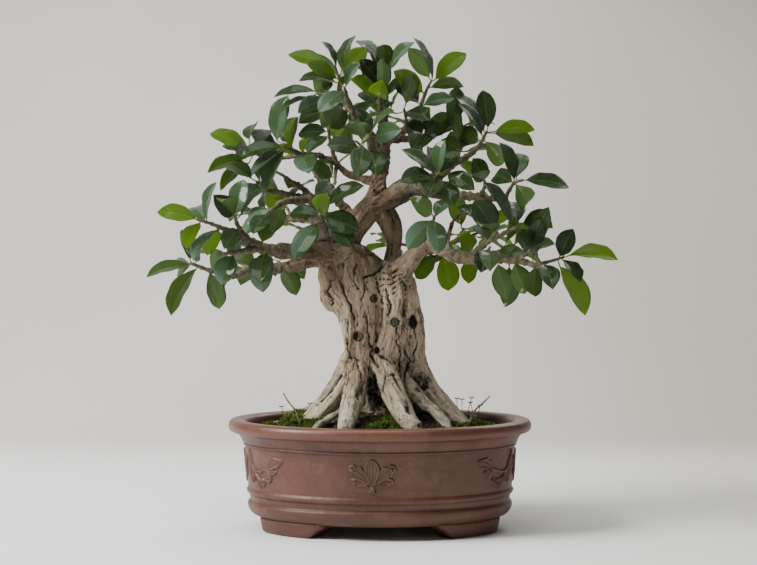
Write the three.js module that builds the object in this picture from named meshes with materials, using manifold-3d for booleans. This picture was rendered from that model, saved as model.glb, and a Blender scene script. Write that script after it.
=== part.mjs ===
// A bonsai fig tree in an oval unglazed clay pot, with soil, moss and two dead twigs.
// Millimetres. +X is to the right of the front view, +Y away from the viewer, +Z up. The origin is on the
// surface that the pot stands on, below the middle of the tree.
//
// Limbs, twigs and leaves are placed by what a viewer in front of the pot sees: each point is
// [across, up, depth], where across and up are measured on the upright plane through the pot's middle and
// depth is the distance behind that plane. seen() carries such a point out to its depth.

import * as THREE from 'three';
import { mergeVertices } from 'three/addons/utils/BufferGeometryUtils.js';
import Module from 'manifold-3d';

const wasm = await Module();
wasm.setup();

// ---- driving dimensions -------------------------------------------------------------------------

const VIEW_DISTANCE = 1851;      // from the viewer's eye to the upright plane through the pot's middle
const EYE_HEIGHT = 281;
const GAP = 0.35;                // clear space left between pieces that touch
const FINEST_DETAIL = 0.15;      // unevenness that is smoothed away where solids are joined

const POT = {
  rimHalfWidth: 151.2,           // half of the pot's width over the rim
  endInset: 30.2,                // how much less deep than wide the oval is, on each side
  rimTop: 109,
  undersideHeight: 12.5,
  floorTop: 18,
  sides: 32,
  footOuter: 125,
  footInner: 98,
  footTop: 15.2,                 // sunk into the pot's underside
  footAngles: [26, 35, 50, 65, 73],   // from the front of the oval, along one foot
  drainRadius: 9,
  drainOffset: 55,
};

// The pot's outline as [half width, height], from the underside, up the outside, over the rim and down
// the inside to the floor.
const POT_PROFILE = [
  [114, POT.undersideHeight], [126.5, 16], [131, 21], [131, 28], [129.4, 31.5], [132.8, 36.8], [132.4, 41],
  [135, 80.5], [141.3, 93], [149.6, 95.8], [POT.rimHalfWidth, 102.5], [146, POT.rimTop], [134.4, 107],
  [132.4, 98], [118, POT.floorTop],
];

// The soil's outline from the pot's floor up the wall, then in across the top to the trunk.
const SOIL_PROFILE = [[117, 21], [131.8, 98], [105, 103.4], [66, 110.4], [30, 115]];

const SCREEN = { size: 34, thickness: 1.6, bars: 3, barWidth: 3 };

const LEAF = {
  thickness: 1.4,                // at the midrib
  petioleRadius: 0.9,
  leastStalk: 3.5,
  rootRadius: 0.5,               // of the stalk where it is sunk in the twig
  fold: 0.22,                    // how far the blade's edges rise above the midrib, per unit of half width
  arch: 0.07,                    // how far the midrib bows up, per unit of length
  stations: [[0.3, 0.9], [0.7, 0.86]],   // along the midrib, and the share of the half width there
  length: 38,
  spare: 0.5,                    // clear space kept round a leaf
};

const COLOURS = {
  clay: 0x7a4a3c, soil: 0x2e231b, moss: 0x51601f, bark: 0x9a8772, leaf: 0x2c5a34, screen: 0x1d1d1f,
  twig: 0x3b3029,
};

// ---- the tree's wood: [across, up, depth, radius] along each limb -------------------------------

// Upright masses of the trunk have a radius across and a radius in depth.
const TRUNK_CORE = [
  [2, 84, 2, 32, 28], [2, 118, 2, 31, 27], [3, 150, 0, 33, 29], [4, 180, 0, 31, 29], [0, 205, 0, 33, 31],
  [-10, 230, 0, 36, 31], [-24, 252, 0, 34, 28], [-30, 268, 0, 29, 25], [-36, 281, 0, 22, 20],
];

const LIMBS = [
  // flutes of the trunk
  [[-29, 140, -6, 12], [-21, 165, -8, 16], [-19, 190, -8, 16], [-24, 215, -8, 17], [-40, 240, -6, 18],
    [-46, 266, -4, 15], [-51, 288, -6, 12.5], [-54, 303, -7, 8.5]],
  [[38, 148, -2, 11], [33, 170, -4, 13], [32, 197, -5, 13], [27, 220, -6, 14], [18, 243, -8, 15]],
  [[-20, 150, -24, 9], [-14, 185, -25, 9], [-12, 220, -26, 9], [-22, 250, -22, 9]],
  [[2, 160, -24, 10], [9, 190, -22, 11], [12, 218, -22, 12], [12, 244, -16, 13], [8, 256, 2, 12]],
  [[6, 150, 24, 10], [8, 200, 22, 10.8], [-16, 256, 16, 10.8]],
  // roots
  [[-24, 168, -8, 15], [-41, 137, -14, 12.5], [-54, 120, -20, 11], [-69, 104, -30, 9.5], [-86, 91, -40, 6]],
  [[-21, 160, -26, 10], [-28, 126, -56, 9.5], [-33, 101, -79, 8.5], [-36, 86, -86, 6]],
  [[1, 166, -24, 10.8], [13.5, 134, -46, 10.5], [24, 113, -66, 9.8], [33, 99, -82, 8.5], [37, 86, -86, 6]],
  [[18, 152, -18, 9], [42, 126, -38, 6.2], [54, 117, -48, 5.4], [66.5, 102, -62, 4.6], [72, 90, -70, 3.4]],
  [[33, 168, -3, 13], [44, 144, -7, 11.5], [58, 125, -13, 10], [72, 111, -21, 8.5], [88, 99, -30, 6.6],
    [98, 90, -36, 5]],
  [[-24, 128, -38, 4.5], [-42, 114, -52, 3.6], [-62, 101, -66, 2.8], [-70, 92, -72, 2.2]],
  [[-10, 162, 22, 10.8], [-22, 130, 46, 10], [-36, 110, 66, 8], [-44, 94, 80, 6]],
  [[14, 160, 20, 10.8], [30, 128, 42, 10.5], [46, 109, 60, 8], [58, 94, 72, 6]],
  [[-26, 150, 12, 10.8], [-56, 122, 30, 9.5], [-84, 104, 46, 7], [-98, 92, 54, 5]],
  [[34, 150, 12, 10.8], [62, 120, 28, 8.5], [86, 103, 40, 6.4], [98, 92, 46, 5]],
  // the leader, its fork to the right, and the limb that climbs behind them
  [[-30, 262, 0, 22], [-34, 284, 1.6, 16], [-20, 308, 3.3, 14], [-6, 325, 4.9, 12.5], [-1, 345, 4.9, 10],
    [-1, 366, 4.1, 9], [-1, 378, 4.1, 8]],
  [[-4, 320, 4.1, 10.8], [8, 329, 1.6, 10.5], [30, 343, -8.7, 9], [49, 336, -20, 7], [69, 332.2, -34, 5.6]],
  [[6, 248, 11.5, 10.8], [12, 268, 16, 8], [14, 284, 16, 9], [11, 303, 11.5, 12], [-2, 322, 6.6, 11]],
  // the low right branch, with a stub, and the rising one behind it
  [[14, 242, -11.6, 14], [22, 257, -14, 11.5], [31, 268, -19, 9.6], [40, 279, -25, 8.8], [49, 288, -30, 8.2],
    [59, 279, -38, 7.4], [73, 271, -45, 6.8], [90, 268.5, -54, 6], [103, 269.9, -60, 5.2]],
  [[66, 274, -41, 3.8], [69, 292, -41, 3.2], [73, 306, -39, 2.8], [84, 314, -35, 2.4]],
  [[46, 338, -11.6, 4.8], [61, 351, 6.1, 4.4]],
  // the low left branches
  [[-46, 274, -8.7, 12], [-62, 277, -20, 10], [-82, 276, -38, 8.4], [-102, 276, -54, 7.2]],
  [[-46, 266, 6.6, 10], [-66, 268, 13, 8], [-93, 259.4, 11.6, 6.4]],
  [[-46, 296, 1.6, 7], [-58, 304, 6.6, 6.4], [-73, 308.7, 16, 5.2]],
  // the upper left branches
  [[-44, 292, 4.9, 8], [-58, 314, 6.6, 6.4], [-66.5, 327, 6.6, 5.6]],
  [[-4, 344, 6.6, 6], [-18, 348, 11.5, 5], [-32, 353, 15, 4.4], [-45, 364, 18, 4], [-58, 370.5, 20, 3.5]],
  // the fan at the top
  [[-2, 370, 4.1, 7.5], [-10, 390, 0, 5.8], [-24.5, 409.2, -11, 4.4]],
  [[-1, 372, 4.1, 7], [2, 395, 3.3, 4.8]],
  [[0, 370, 4.9, 7], [10, 390, 6.6, 5.8], [25, 396.9, 6.6, 4.8]],
  [[8, 386, 7.4, 5], [25, 387.8, 20, 4.2]],
  // branches that reach back, and one that reaches forward
  [[-24, 262, 15, 10], [-34, 278, 33, 7.6], [-43.7, 287.6, 58, 6]],
  [[6, 250, 15, 9], [24, 266, 33, 7.4], [43.7, 275.8, 55, 5.8]],
  [[-2, 338, 8.2, 8], [1.8, 351.5, 29, 6]],
  [[-24, 306, 8.2, 7], [-37.6, 321.6, 31, 5]],
  [[4, 318, 11.5, 7], [23.6, 327.8, 32, 5]],
  [[-2, 360, 0, 5.6], [-5.8, 371.6, -31, 4.4]],
];

const BURLS = [
  { at: [-45, 233, -8], size: [14, 13, 17] },
  { at: [20, 236, 12], size: [17, 18, 20] },
  { at: [-57, 300, -8], size: [8, 8, 6] },
];

// ---- the leafy sprays ---------------------------------------------------------------------------
// Each spray is one piece: its twigs, the leaves that the front view shows, and whorls of leaves that follow
// the rule in whorlLeaves(). A twig is [across, up, depth, radius] points. A leaf is
// [base across, base up, tip across, tip up, seen width, face, lean]: face is 't' where the viewer sees the
// blade's top and 'u' its underside, and lean is -1 where the tip comes nearer than the base, 1 where it
// goes further back. A whorl is [twig, leaves].

const SPRAYS = {
  "left_low_outer": {
    "twigs": [
      [[-103, 276, -55, 7.2], [-120, 279, -70, 6], [-130, 285, -78, 5], [-140, 293, -87, 4.4],
        [-156, 297.5, -99, 3.2]],
      [[-117, 278.5, -67, 4.2], [-130, 277, -81, 3.6], [-143, 275, -93, 2.8]],
      [[-154, 297, -97, 2.8], [-165, 302, -107, 2.2], [-174, 305, -116, 1.7], [-184, 308, -122, 1.2]],
      [[-139, 294, -86, 2.8], [-143, 303, -96, 2.2], [-145, 311, -102, 1.6]],
      [[-142, 275, -91, 2.6], [-150, 274, -102, 2], [-157, 273, -110, 1.5]],
      [[-112, 276, -64, 2.2], [-116, 275, -78, 1.6]]],
    "leaves": [[-184, 308, -223, 316, 15, "t", 0], [-173, 309, -165, 345, 9, "t", 0],
      [-176, 306, -186, 322, 10, "t", 1], [-158, 302, -188, 267, 9, "t", -1],
      [-180, 303, -194, 279, 11, "u", 0], [-163, 297, -173, 272, 11, "u", 1],
      [-144, 311, -137, 348, 17, "t", 0], [-145, 311, -165, 331, 15, "t", -1],
      [-141, 300, -156, 279, 12, "t", -1], [-146, 275, -159, 243, 20, "t", -1],
      [-155, 274, -168, 258, 16, "u", 1], [-145, 276, -128, 262, 12, "u", 1],
      [-116, 277, -118, 235, 22, "t", -1]],
    "whorls": [[3, 2], [5, 1]] },
  "left_under_outer": {
    "twigs": [[[-94, 259, 11.5, 6.4], [-129, 259, 3.3, 5], [-143, 252, -5.8, 4], [-170, 256, -23, 2.8]],
      [[-168, 256, -22, 2.6], [-180, 260, -29, 2.2], [-190, 264, -33, 1.5]],
      [[-129, 259, 4.9, 2.2], [-136, 262, 15, 1.8], [-146, 266, 25, 1.4]],
      [[-96, 259, 10.7, 2.2], [-99, 263, 18, 1.8], [-102, 266, 26, 1.3]],
      [[-98, 262, 16, 1.6], [-88, 262, 25, 1.3]]],
    "leaves": [[-187, 268, -204, 257, 10, "t", 1], [-190, 268, -198, 298, 12, "t", 0],
      [-184, 266, -184, 288, 9, "t", -1], [-192, 265, -234, 252, 11, "u", 0],
      [-183, 259, -210, 212, 12, "u", 0], [-172, 255, -160, 218, 17, "u", 0],
      [-132, 264, -139, 244, 13, "u", 1], [-101, 262, -83, 232, 18, "u", 0],
      [-88, 264, -76, 249, 15, "u", 1]],
    "whorls": [[2, 3], [3, 2]] },
  "left_middle": {
    "twigs": [[[-74, 309, 16, 5.2], [-90, 308, 26, 4.2], [-106, 309, 36, 2.8]],
      [[-103, 309, 34, 2.4], [-112, 311, 39, 1.9], [-122, 314, 43, 1.4]],
      [[-89, 309, 27, 2.2], [-92, 317, 38, 1.7], [-96, 325, 46, 1.3]]],
    "leaves": [[-104, 305, -118, 286, 14, "u", 0]],
    "whorls": [[1, 3], [2, 3]] },
  "upper_left": {
    "twigs": [[[-67, 328, 6.6, 5.6], [-79, 327, 0, 4.6], [-92, 326, -17, 3.8], [-103, 322, -29, 2.6]],
      [[-67, 328, 6.6, 4.6], [-80, 330, 13, 4], [-102, 334.5, 15, 3.2], [-114, 337, 13, 2.4]],
      [[-67, 328, 7.4, 4.2], [-78, 339, 20, 3.4], [-92, 347, 30, 2.6]],
      [[-102, 321, -28, 2.4], [-109, 317, -38, 2], [-114, 313, -44, 1.5]],
      [[-112, 336.5, 13, 2.3], [-118, 341, 9.8, 1.9], [-124, 346, 7.4, 1.4]],
      [[-90, 346.5, 29, 2.4], [-98, 352, 36, 1.9], [-106, 356, 43, 1.4]]],
    "leaves": [[-103, 321, -137, 292, 13, "t", -1], [-111, 311, -127, 294, 13, "t", -1],
      [-109, 322, -132, 304, 14, "t", 1], [-100, 318, -106, 296, 11, "u", 1],
      [-124, 347, -141, 322, 14, "t", -1], [-119, 345, -118, 362, 10, "t", 1],
      [-84, 352, -91, 341, 12, "u", 1]],
    "whorls": [[4, 2], [5, 3]] },
  "high_left": {
    "twigs": [[[-59, 371, 20, 3.5], [-71, 372.4, 20, 3], [-84, 374, 16, 2.6]],
      [[-70, 372.4, 20, 2.8], [-90, 370, 28, 2.4], [-108, 368, 33, 2]],
      [[-82, 374.5, 16, 2.4], [-90, 378, 11.5, 2], [-97, 382, 6.6, 1.4]],
      [[-106, 368, 33, 1.9], [-117, 370, 33, 1.7], [-126, 375, 30, 1.4], [-130, 379, 26, 1.1]]],
    "leaves": [[-103, 387, -93, 432, 18, "t", 0], [-99, 383, -139, 371, 12, "t", 0],
      [-96, 376, -118, 334, 15, "t", -1], [-87, 381, -86, 410, 10, "t", 0],
      [-100, 376, -130, 351, 10, "t", -1], [-99, 388, -84, 411, 13, "u", 1],
      [-79, 378, -71, 354, 22, "t", -1], [-128, 385, -170, 394, 15, "t", 0],
      [-131, 388, -125, 405, 6, "t", 1], [-122, 383, -114, 398, 10, "t", 1],
      [-135, 375, -156, 385, 10, "t", 1], [-128, 381, -145, 374, 12, "t", -1],
      [-134, 369, -173, 356, 10, "u", 0], [-131, 364, -161, 338, 10, "u", 0]],
    "whorls": [] },
  "left_top_low": {
    "twigs": [[[-43, 363, 18, 2.8], [-47, 374, 8, 2.2], [-50, 386, -2, 1.8], [-52, 398, -8, 1.4]]],
    "leaves": [[-54, 400, -82, 393, 14, "t", 0], [-51, 402, -58, 419, 14, "u", 1],
      [-47, 393, -73, 374, 11, "t", -1], [-50, 399, -38, 414, 13, "u", 1]],
    "whorls": [[0, 1]] },
  "centre_left_front": {
    "twigs": [[[-43, 362, 18, 2.6], [-45, 352, 2, 2], [-45, 343, -12, 1.5]]],
    "leaves": [[-46, 341, -64, 333, 14, "t", -1], [-48, 350, -66, 364, 12, "u", 1]],
    "whorls": [] },
  "top_left": {
    "twigs": [[[-25, 410, -11.6, 4.4], [-32, 427, -20, 3]],
      [[-28, 415, -15, 3], [-34, 421, 0, 2.8], [-38, 434, 8.2, 2.4]],
      [[-31, 425, -19, 2.4], [-42, 430, -17, 1.9], [-54, 432, -14, 1.6], [-64, 434, -11.6, 1.2]],
      [[-32, 425, -20, 2.6], [-34, 433, -29, 2], [-36, 440, -35, 1.4]],
      [[-38, 432, 8.2, 2.4], [-40, 442, 9, 1.9], [-41, 452, 9, 1.3]],
      [[-35, 424, 3, 2.4], [-42, 421, 23, 2], [-48, 418, 38, 1.4]]],
    "leaves": [[-66, 436, -106, 431, 10, "t", 0], [-56, 428, -82, 415, 13, "t", -1],
      [-53, 434, -66, 452, 12, "u", 1], [-37, 437, -61, 415, 13, "t", -1],
      [-36, 440, -21, 463, 9, "t", 0], [-42, 444, -80, 447, 10, "t", 0],
      [-48, 457, -92, 473, 15, "t", 0], [-42, 447, -73, 464, 14, "t", -1],
      [-44, 460, -57, 486, 6, "t", 0], [-37, 453, -13, 479, 18, "t", 0]],
    "whorls": [[2, 1], [3, 1], [4, 1], [5, 3]] },
  "top_middle": {
    "twigs": [[[2, 396, 3.3, 4.8], [2, 413, -2.9, 4], [1, 420, -7.2, 3]],
      [[3, 400, 4.1, 4], [6, 416, 13, 3.4], [6, 436, 20, 2.4]],
      [[1, 418, -7.2, 2.6], [0, 425, -17, 2.1], [0, 431, -26, 1.5]],
      [[6, 433, 20, 2.4], [5, 443, 20, 2], [4, 453, 18, 1.4]],
      [[5, 424, 16, 2.4], [2, 428, 31, 2], [0, 434, 43, 1.4]]],
    "leaves": [[-3, 431, -28, 448, 10, "t", -1], [0.5, 430, 2, 445, 19, "t", -1],
      [3, 428, 27, 451, 10, "t", 0], [22, 426, 4, 421, 12, "t", -1], [-4, 424, -18, 437, 12, "t", 1],
      [1, 466, -23, 487, 11, "t", 1], [6, 458, -4, 478, 14, "t", 1], [7, 451, 33, 486, 11, "t", 0],
      [2, 455, -14, 481, 7, "t", 0], [-1, 445, -20, 467, 16, "t", -1]],
    "whorls": [[2, 1], [3, 1], [4, 4]] },
  "top_right": {
    "twigs": [[[26, 397.5, 6.6, 4.8], [36, 410, 3.3, 3.8], [41, 421, 0, 2.8]],
      [[40, 419, 0, 2.6], [43, 428, -5.8, 2.2], [47, 438, -11.6, 1.8], [52, 447, -14, 1.3]],
      [[27, 399, 5.7, 2.2], [26, 408, -8.7, 1.8], [24, 418, -23, 1.3]]],
    "leaves": [[49, 450, 29, 479, 16, "u", 1], [52.5, 450, 34, 490, 9, "t", 0],
      [56, 448, 86, 474, 17, "t", 0], [43, 434, 14, 456, 18, "t", -1], [52, 437, 84, 442, 11, "u", 0],
      [38, 424, 19, 447, 16, "t", 1], [44, 420, 74, 429, 13, "t", 0],
      [24, 424, 50, 407, 11, "t", -1]],
    "whorls": [[2, 2]] },
  "top_low_front": {
    "twigs": [[[-8, 383, 0, 2.2], [-10, 388, -17, 1.8], [-10, 392, -32, 1.3]]],
    "leaves": [[-9, 389, -23, 420, 13, "t", 0], [-5, 390, 21, 397, 13, "t", -1],
      [-12, 393, -34, 400, 12, "u", 1]],
    "whorls": [[0, 1]] },
  "top_back_right": {
    "twigs": [[[26, 388, 21, 4.2], [48, 391, 33, 3.2], [62, 394, 39, 2.4]],
      [[47, 391, 33, 2.4], [46, 394, 25, 1.9], [46, 396, 15, 1.3]],
      [[60, 393.6, 39, 2.3], [68, 397, 43, 1.9], [76, 400, 46, 1.4]]],
    "leaves": [[42, 392, 29, 404, 15, "t", -1], [47, 388, 57, 404, 14, "t", -1],
      [50, 396, 72, 412, 18, "u", 1], [67, 397, 61, 415, 12, "u", 1], [77, 400, 79, 418, 12, "u", 0],
      [72, 392, 78, 376, 12, "u", 0]],
    "whorls": [[1, 1], [2, 3]] },
  "centre_front": {
    "twigs": [[[-6, 372, -32, 4.4], [-10, 384, -64, 3.4], [-12, 391, -84, 2.4]],
      [[-12, 390, -81, 2.3], [-14, 388, -96, 1.9], [-16, 385, -107, 1.4]]],
    "leaves": [[-9, 378, -4, 354, 24, "t", -1], [-22, 380, -53, 382, 16, "t", 0]],
    "whorls": [[1, 2]] },
  "stub_shoot": {
    "twigs": [[[-54, 300, -12, 3.4], [-58, 306, -26, 2.8], [-60, 313, -38, 2]],
      [[-57, 304.5, -22, 2.2], [-51, 304, -33, 1.8], [-46, 303, -40, 1.3]]],
    "leaves": [[-60, 316, -53, 333, 14, "t", -1], [-62, 313, -90, 314, 12, "t", 0],
      [-54, 318, -21, 297, 22, "t", -1], [-63, 303, -85, 268, 18, "t", -1],
      [-48, 302, -29, 280, 14, "t", -1], [-53, 322, -17, 342, 13, "t", 0]],
    "whorls": [] },
  "right_branch_shoot": {
    "twigs": [[[49, 289, -33, 2.4], [52, 300, -52, 2], [54, 311, -67, 1.5]]],
    "leaves": [[50, 311, 27, 279, 19, "t", -1], [57, 310, 59, 275, 18, "t", -1],
      [56, 313, 71, 328, 10, "t", 0], [52, 313, 31, 329, 11, "u", 1]],
    "whorls": [] },
  "right_hanging": {
    "twigs": [[[20, 263, 31, 5.4], [52, 268, 34, 4.4], [84, 270, 41, 3.4], [104, 272, 48, 2.6]],
      [[52, 267, 34, 2.2], [58, 272, 28, 1.9], [64, 275, 23, 1.5]],
      [[86, 270, 42, 2.2], [90, 274, 34, 1.8], [94, 276, 28, 1.4]],
      [[103, 272, 47, 2.4], [120, 276, 51, 2], [134, 282, 52, 1.4]]],
    "leaves": [[56, 274, 35, 249, 18, "u", 0], [64, 273, 69, 236, 22, "u", 0],
      [92, 271, 88, 244, 16, "u", 0], [98, 277, 80, 293, 14, "u", 1]],
    "whorls": [[1, 2], [2, 2], [3, 5]] },
  "right_fork_shoot": {
    "twigs": [[[50, 336, -22, 2.8], [53, 342, -44, 2.3], [56, 348, -64, 1.9], [58, 353, -72, 1.4]]],
    "leaves": [[54, 353, 22, 378, 12, "t", 0], [58, 356, 63, 387, 12, "t", 0],
      [62, 354, 80, 377, 13, "t", 0], [55, 356, 51, 381, 10, "t", 1], [51, 352, 21, 347, 12, "t", -1],
      [55, 347, 48, 330, 15, "t", -1], [62, 346, 73, 321, 18, "t", -1], [68, 353, 94, 338, 13, "t", -1]],
    "whorls": [] },
  "right_fork_outer": {
    "twigs": [[[70, 332, -35, 5.6], [89, 331, -49, 4.6], [112, 328, -67, 3.4], [127, 328, -78, 2.6]],
      [[125, 328, -77, 2.4], [129, 336, -84, 2.1], [134, 344, -90, 1.8], [143, 347, -96, 1.3]],
      [[100, 330, -58, 2.4], [104, 338, -72, 1.9], [105, 346, -84, 1.4]]],
    "leaves": [[134, 348, 121, 385, 13, "t", 0], [132, 345, 112, 352, 13, "t", 1],
      [136, 350, 143, 374, 12, "t", 1], [146, 347, 189, 340, 14, "t", 0],
      [136, 342, 149, 324, 13, "u", -1], [104, 345, 93, 368, 14, "t", -1]],
    "whorls": [[2, 2]] },
  "right_high": {
    "twigs": [[[62, 352, 6.6, 4.4], [74, 363, 9.8, 4], [88, 371, 11.5, 3.4], [100, 381, 9.8, 2.8]],
      [[98, 380, 10.7, 2.6], [103, 388, 6.6, 2.1], [107, 396, 4.1, 1.5]],
      [[73, 364, 9.8, 2.2], [78, 372, 20, 1.8], [82, 380, 28, 1.3]]],
    "leaves": [[108, 400, 103, 437, 19, "t", 0], [103, 390, 80, 424, 12, "t", -1],
      [116, 396, 155, 398, 15, "t", 0], [115, 394, 154, 383, 12, "u", 1],
      [106, 385, 124, 362, 14, "u", -1], [103, 395, 74, 436, 15, "t", 1],
      [98, 388, 76, 396, 12, "u", 1], [82, 380, 78, 396, 12, "u", 1], [78, 377, 62, 386, 12, "u", 1]],
    "whorls": [[2, 4]] },
  "right_middle": {
    "twigs": [[[90, 270, -54, 4.2], [108, 286, -72, 3.6], [122, 292, -84, 2.8]],
      [[107, 284, -71, 2.4], [112, 289, -90, 2], [117, 295, -104, 1.5]],
      [[120, 291, -83, 2.4], [128, 296, -93, 2.1], [134, 299, -99, 1.7], [142, 304, -102, 1.3]]],
    "leaves": [[117, 296, 94, 326, 24, "t", 0], [114, 294, 78, 322, 13, "t", 1],
      [110, 287, 98, 303, 12, "t", 1], [133, 299, 104, 345, 11, "t", -1],
      [142, 306, 172, 311, 18, "t", 0], [144, 304, 172, 300, 10, "u", 1],
      [136, 297, 148, 282, 12, "t", 1], [138, 306, 132, 326, 13, "t", 1]],
    "whorls": [[1, 1]] },
  "right_low_outer": {
    "twigs": [
      [[104, 270, -61, 5.2], [123, 267.5, -71, 4.4], [140, 266, -80, 3.8], [154, 261.5, -87, 2.8]],
      [[140, 268, -81, 2.4], [147, 274, -87, 2], [154, 279, -91, 1.5]],
      [[152, 262, -87, 2.6], [163, 264, -90, 2.1], [174, 267, -91, 1.7], [184, 270, -91, 1.2]],
      [[120, 267, -70, 2.2], [124, 268, -52, 1.8], [132, 268, -38, 1.4]],
      [[104, 271, -61, 2.2], [108, 276, -78, 1.8], [110, 280, -90, 1.4]],
      [[139, 265, -78, 2.2], [146, 263, -64, 1.8], [154, 264, -49, 1.3]]],
    "leaves": [[155, 281, 159, 307, 15, "t", -1], [152, 279, 126, 288, 12, "u", 1],
      [150, 274, 121, 270, 11, "u", 1], [178, 271, 192, 298, 15, "t", 0],
      [184, 273, 186, 292, 9, "t", 1], [190, 272, 238, 268, 12, "t", 0],
      [182, 266, 201, 246, 11, "t", 0], [180, 260, 206, 212, 17, "u", 0],
      [165, 262, 173, 240, 11, "t", -1], [160, 267, 135, 295, 10, "t", -1],
      [118, 262, 127, 228, 18, "u", 0], [134, 266, 145, 233, 19, "u", 0],
      [111, 280, 101, 255, 20, "t", -1], [156, 262, 155, 230, 16, "u", 0]],
    "whorls": [[1, 1], [3, 2], [4, 1], [5, 2]] },
  "back_left": {
    "twigs": [[[-44, 288, 59, 6], [-56, 292, 85, 4.4], [-62, 298, 105, 2.8]],
      [[-61, 297, 103, 2.8], [-66, 302, 115, 2.2], [-68, 308, 125, 1.5]],
      [[-57, 293, 85, 2.4], [-78, 298, 92, 1.9], [-96, 306, 97, 1.4]],
      [[-45, 289, 60, 2.4], [-56, 304, 69, 2], [-66, 316, 75, 1.4]]],
    "leaves": [],
    "whorls": [[1, 4], [2, 4], [3, 2]] },
  "back_right": {
    "twigs": [[[44, 276, 56, 5.8], [64, 280, 80, 4.2], [76, 286, 100, 2.8]],
      [[75, 285, 99, 2.6], [80, 292, 112, 2.1], [84, 298, 121, 1.5]],
      [[64, 281, 80, 2.4], [84, 288, 87, 1.9], [102, 296, 92, 1.4]],
      [[50, 277, 63, 2.6], [30, 281, 74, 2], [12, 285, 80, 1.4]]],
    "leaves": [],
    "whorls": [[1, 4], [2, 4], [3, 5]] },
  "back_middle": {
    "twigs": [[[2, 352, 30, 6], [6, 366, 52, 4.6], [8, 382, 66, 3]],
      [[8, 381, 65, 2.8], [8, 398, 76, 2.2], [6, 414, 84, 1.5]],
      [[6, 365, 51, 2.4], [-10, 374, 62, 2], [-24, 386, 70, 1.4]]],
    "leaves": [],
    "whorls": [[1, 5], [2, 4]] },
  "back_upper_left": {
    "twigs": [[[-38, 322, 31, 5], [-54, 340, 54, 4], [-66, 356, 74, 2.8]],
      [[-65, 355, 73, 2.6], [-76, 368, 80, 2.1], [-88, 376, 85, 1.4]],
      [[-53, 339, 53, 2.4], [-48, 366, 62, 1.9], [-46, 394, 66, 1.4]]],
    "leaves": [],
    "whorls": [[1, 5], [2, 3]] },
  "back_upper_right": {
    "twigs": [[[24, 328, 33, 5], [44, 342, 54, 4], [58, 358, 72, 2.8]],
      [[57, 357, 71, 2.6], [70, 368, 80, 2.1], [82, 378, 87, 1.4]],
      [[44, 342, 54, 2.4], [42, 368, 66, 1.9], [40, 396, 70, 1.4]]],
    "leaves": [],
    "whorls": [[1, 5], [2, 3]] },
};


// ---- vectors, solids and meshes -----------------------------------------------------------------

const vec = (x, y, z) => new THREE.Vector3(x, y, z);
const UP = vec(0, 0, 1);
const TO_VIEWER = vec(0, -1, 0);

// Where a point of the front view lies once it is carried out to its depth.
function seen([across, up, depth]) {
  const spread = 1 + depth / VIEW_DISTANCE;
  return vec(across * spread, depth, EYE_HEIGHT + (up - EYE_HEIGHT) * spread);
}

// The same numbers on every run, from 0 to 1.
function drawsFrom(seed) {
  let state = seed;
  return () => {
    state = (state * 1664525 + 1013904223) % 4294967296;
    return state / 4294967296;
  };
}

function closedGeometry(points, faces) {
  const geometry = new THREE.BufferGeometry();
  const numbers = points.flatMap((p) => [p.x, p.y, p.z]);
  geometry.setAttribute('position', new THREE.Float32BufferAttribute(numbers, 3));
  geometry.setIndex(faces.flat());
  return geometry;
}

function signedVolume(points, faces) {
  let volume = 0;
  for (const [a, b, c] of faces) {
    volume += points[a].dot(points[b].clone().cross(points[c])) / 6;
  }
  return volume;
}

function solidOf(geometry) {
  const bare = geometry.clone();
  bare.deleteAttribute('normal');
  bare.deleteAttribute('uv');
  const merged = mergeVertices(bare, 1e-4);
  const vertProperties = new Float32Array(merged.getAttribute('position').array);
  const triVerts = new Uint32Array(merged.index.array);
  return new wasm.Manifold(new wasm.Mesh({ numProp: 3, vertProperties, triVerts }));
}

function solidFrom(points, faces) {
  const outward = signedVolume(points, faces) > 0 ? faces : faces.map(([a, b, c]) => [a, c, b]);
  return solidOf(closedGeometry(points, outward));
}

// Joins rings of equal count into a closed skin, with a fan over each end.
function loft(rings) {
  const count = rings[0].length;
  const points = rings.flat();
  const faces = [];
  for (let r = 0; r + 1 < rings.length; r += 1) {
    for (let i = 0; i < count; i += 1) {
      const [a, b] = [r * count + i, r * count + (i + 1) % count];
      faces.push([a, b, b + count], [a, b + count, a + count]);
    }
  }
  const last = (rings.length - 1) * count;
  for (let i = 1; i + 1 < count; i += 1) {
    faces.push([0, i + 1, i], [last, last + i, last + i + 1]);
  }
  return solidFrom(points, faces);
}

// A tube through the given centres, whose section keeps its turn from one ring to the next.
function tube(centres, radii, sides) {
  const rings = [];
  let across = null;
  centres.forEach((centre, i) => {
    const before = centres[Math.max(i - 1, 0)];
    const after = centres[Math.min(i + 1, centres.length - 1)];
    const along = after.clone().sub(before).normalize();
    const start = across ?? (Math.abs(along.x) < 0.8 ? vec(1, 0, 0) : vec(0, 0, 1));
    across = start.clone().addScaledVector(along, -start.dot(along)).normalize();
    const other = along.clone().cross(across);
    rings.push(Array.from({ length: sides }, (_, k) => {
      const turn = (k + 0.5) / sides * Math.PI * 2;
      return centre.clone().addScaledVector(across, Math.cos(turn) * radii[i])
        .addScaledVector(other, Math.sin(turn) * radii[i]);
    }));
  });
  return loft(rings);
}

function sidesFor(radius) {
  if (radius > 10.9) return 8;
  if (radius > 5.9) return 6;
  return radius > 3 ? 5 : 4;
}

// A limb or twig, with its radius grown by `grow` and its far end drawn out by as much.
function limbSolid(path, grow = 0) {
  const centres = path.map(seen);
  const last = centres.length - 1;
  const onward = centres[last].clone().sub(centres[last - 1]).normalize();
  centres[last].addScaledVector(onward, grow);
  return tube(centres, path.map((p) => p[3] + grow), sidesFor(path[0][3]));
}

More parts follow.
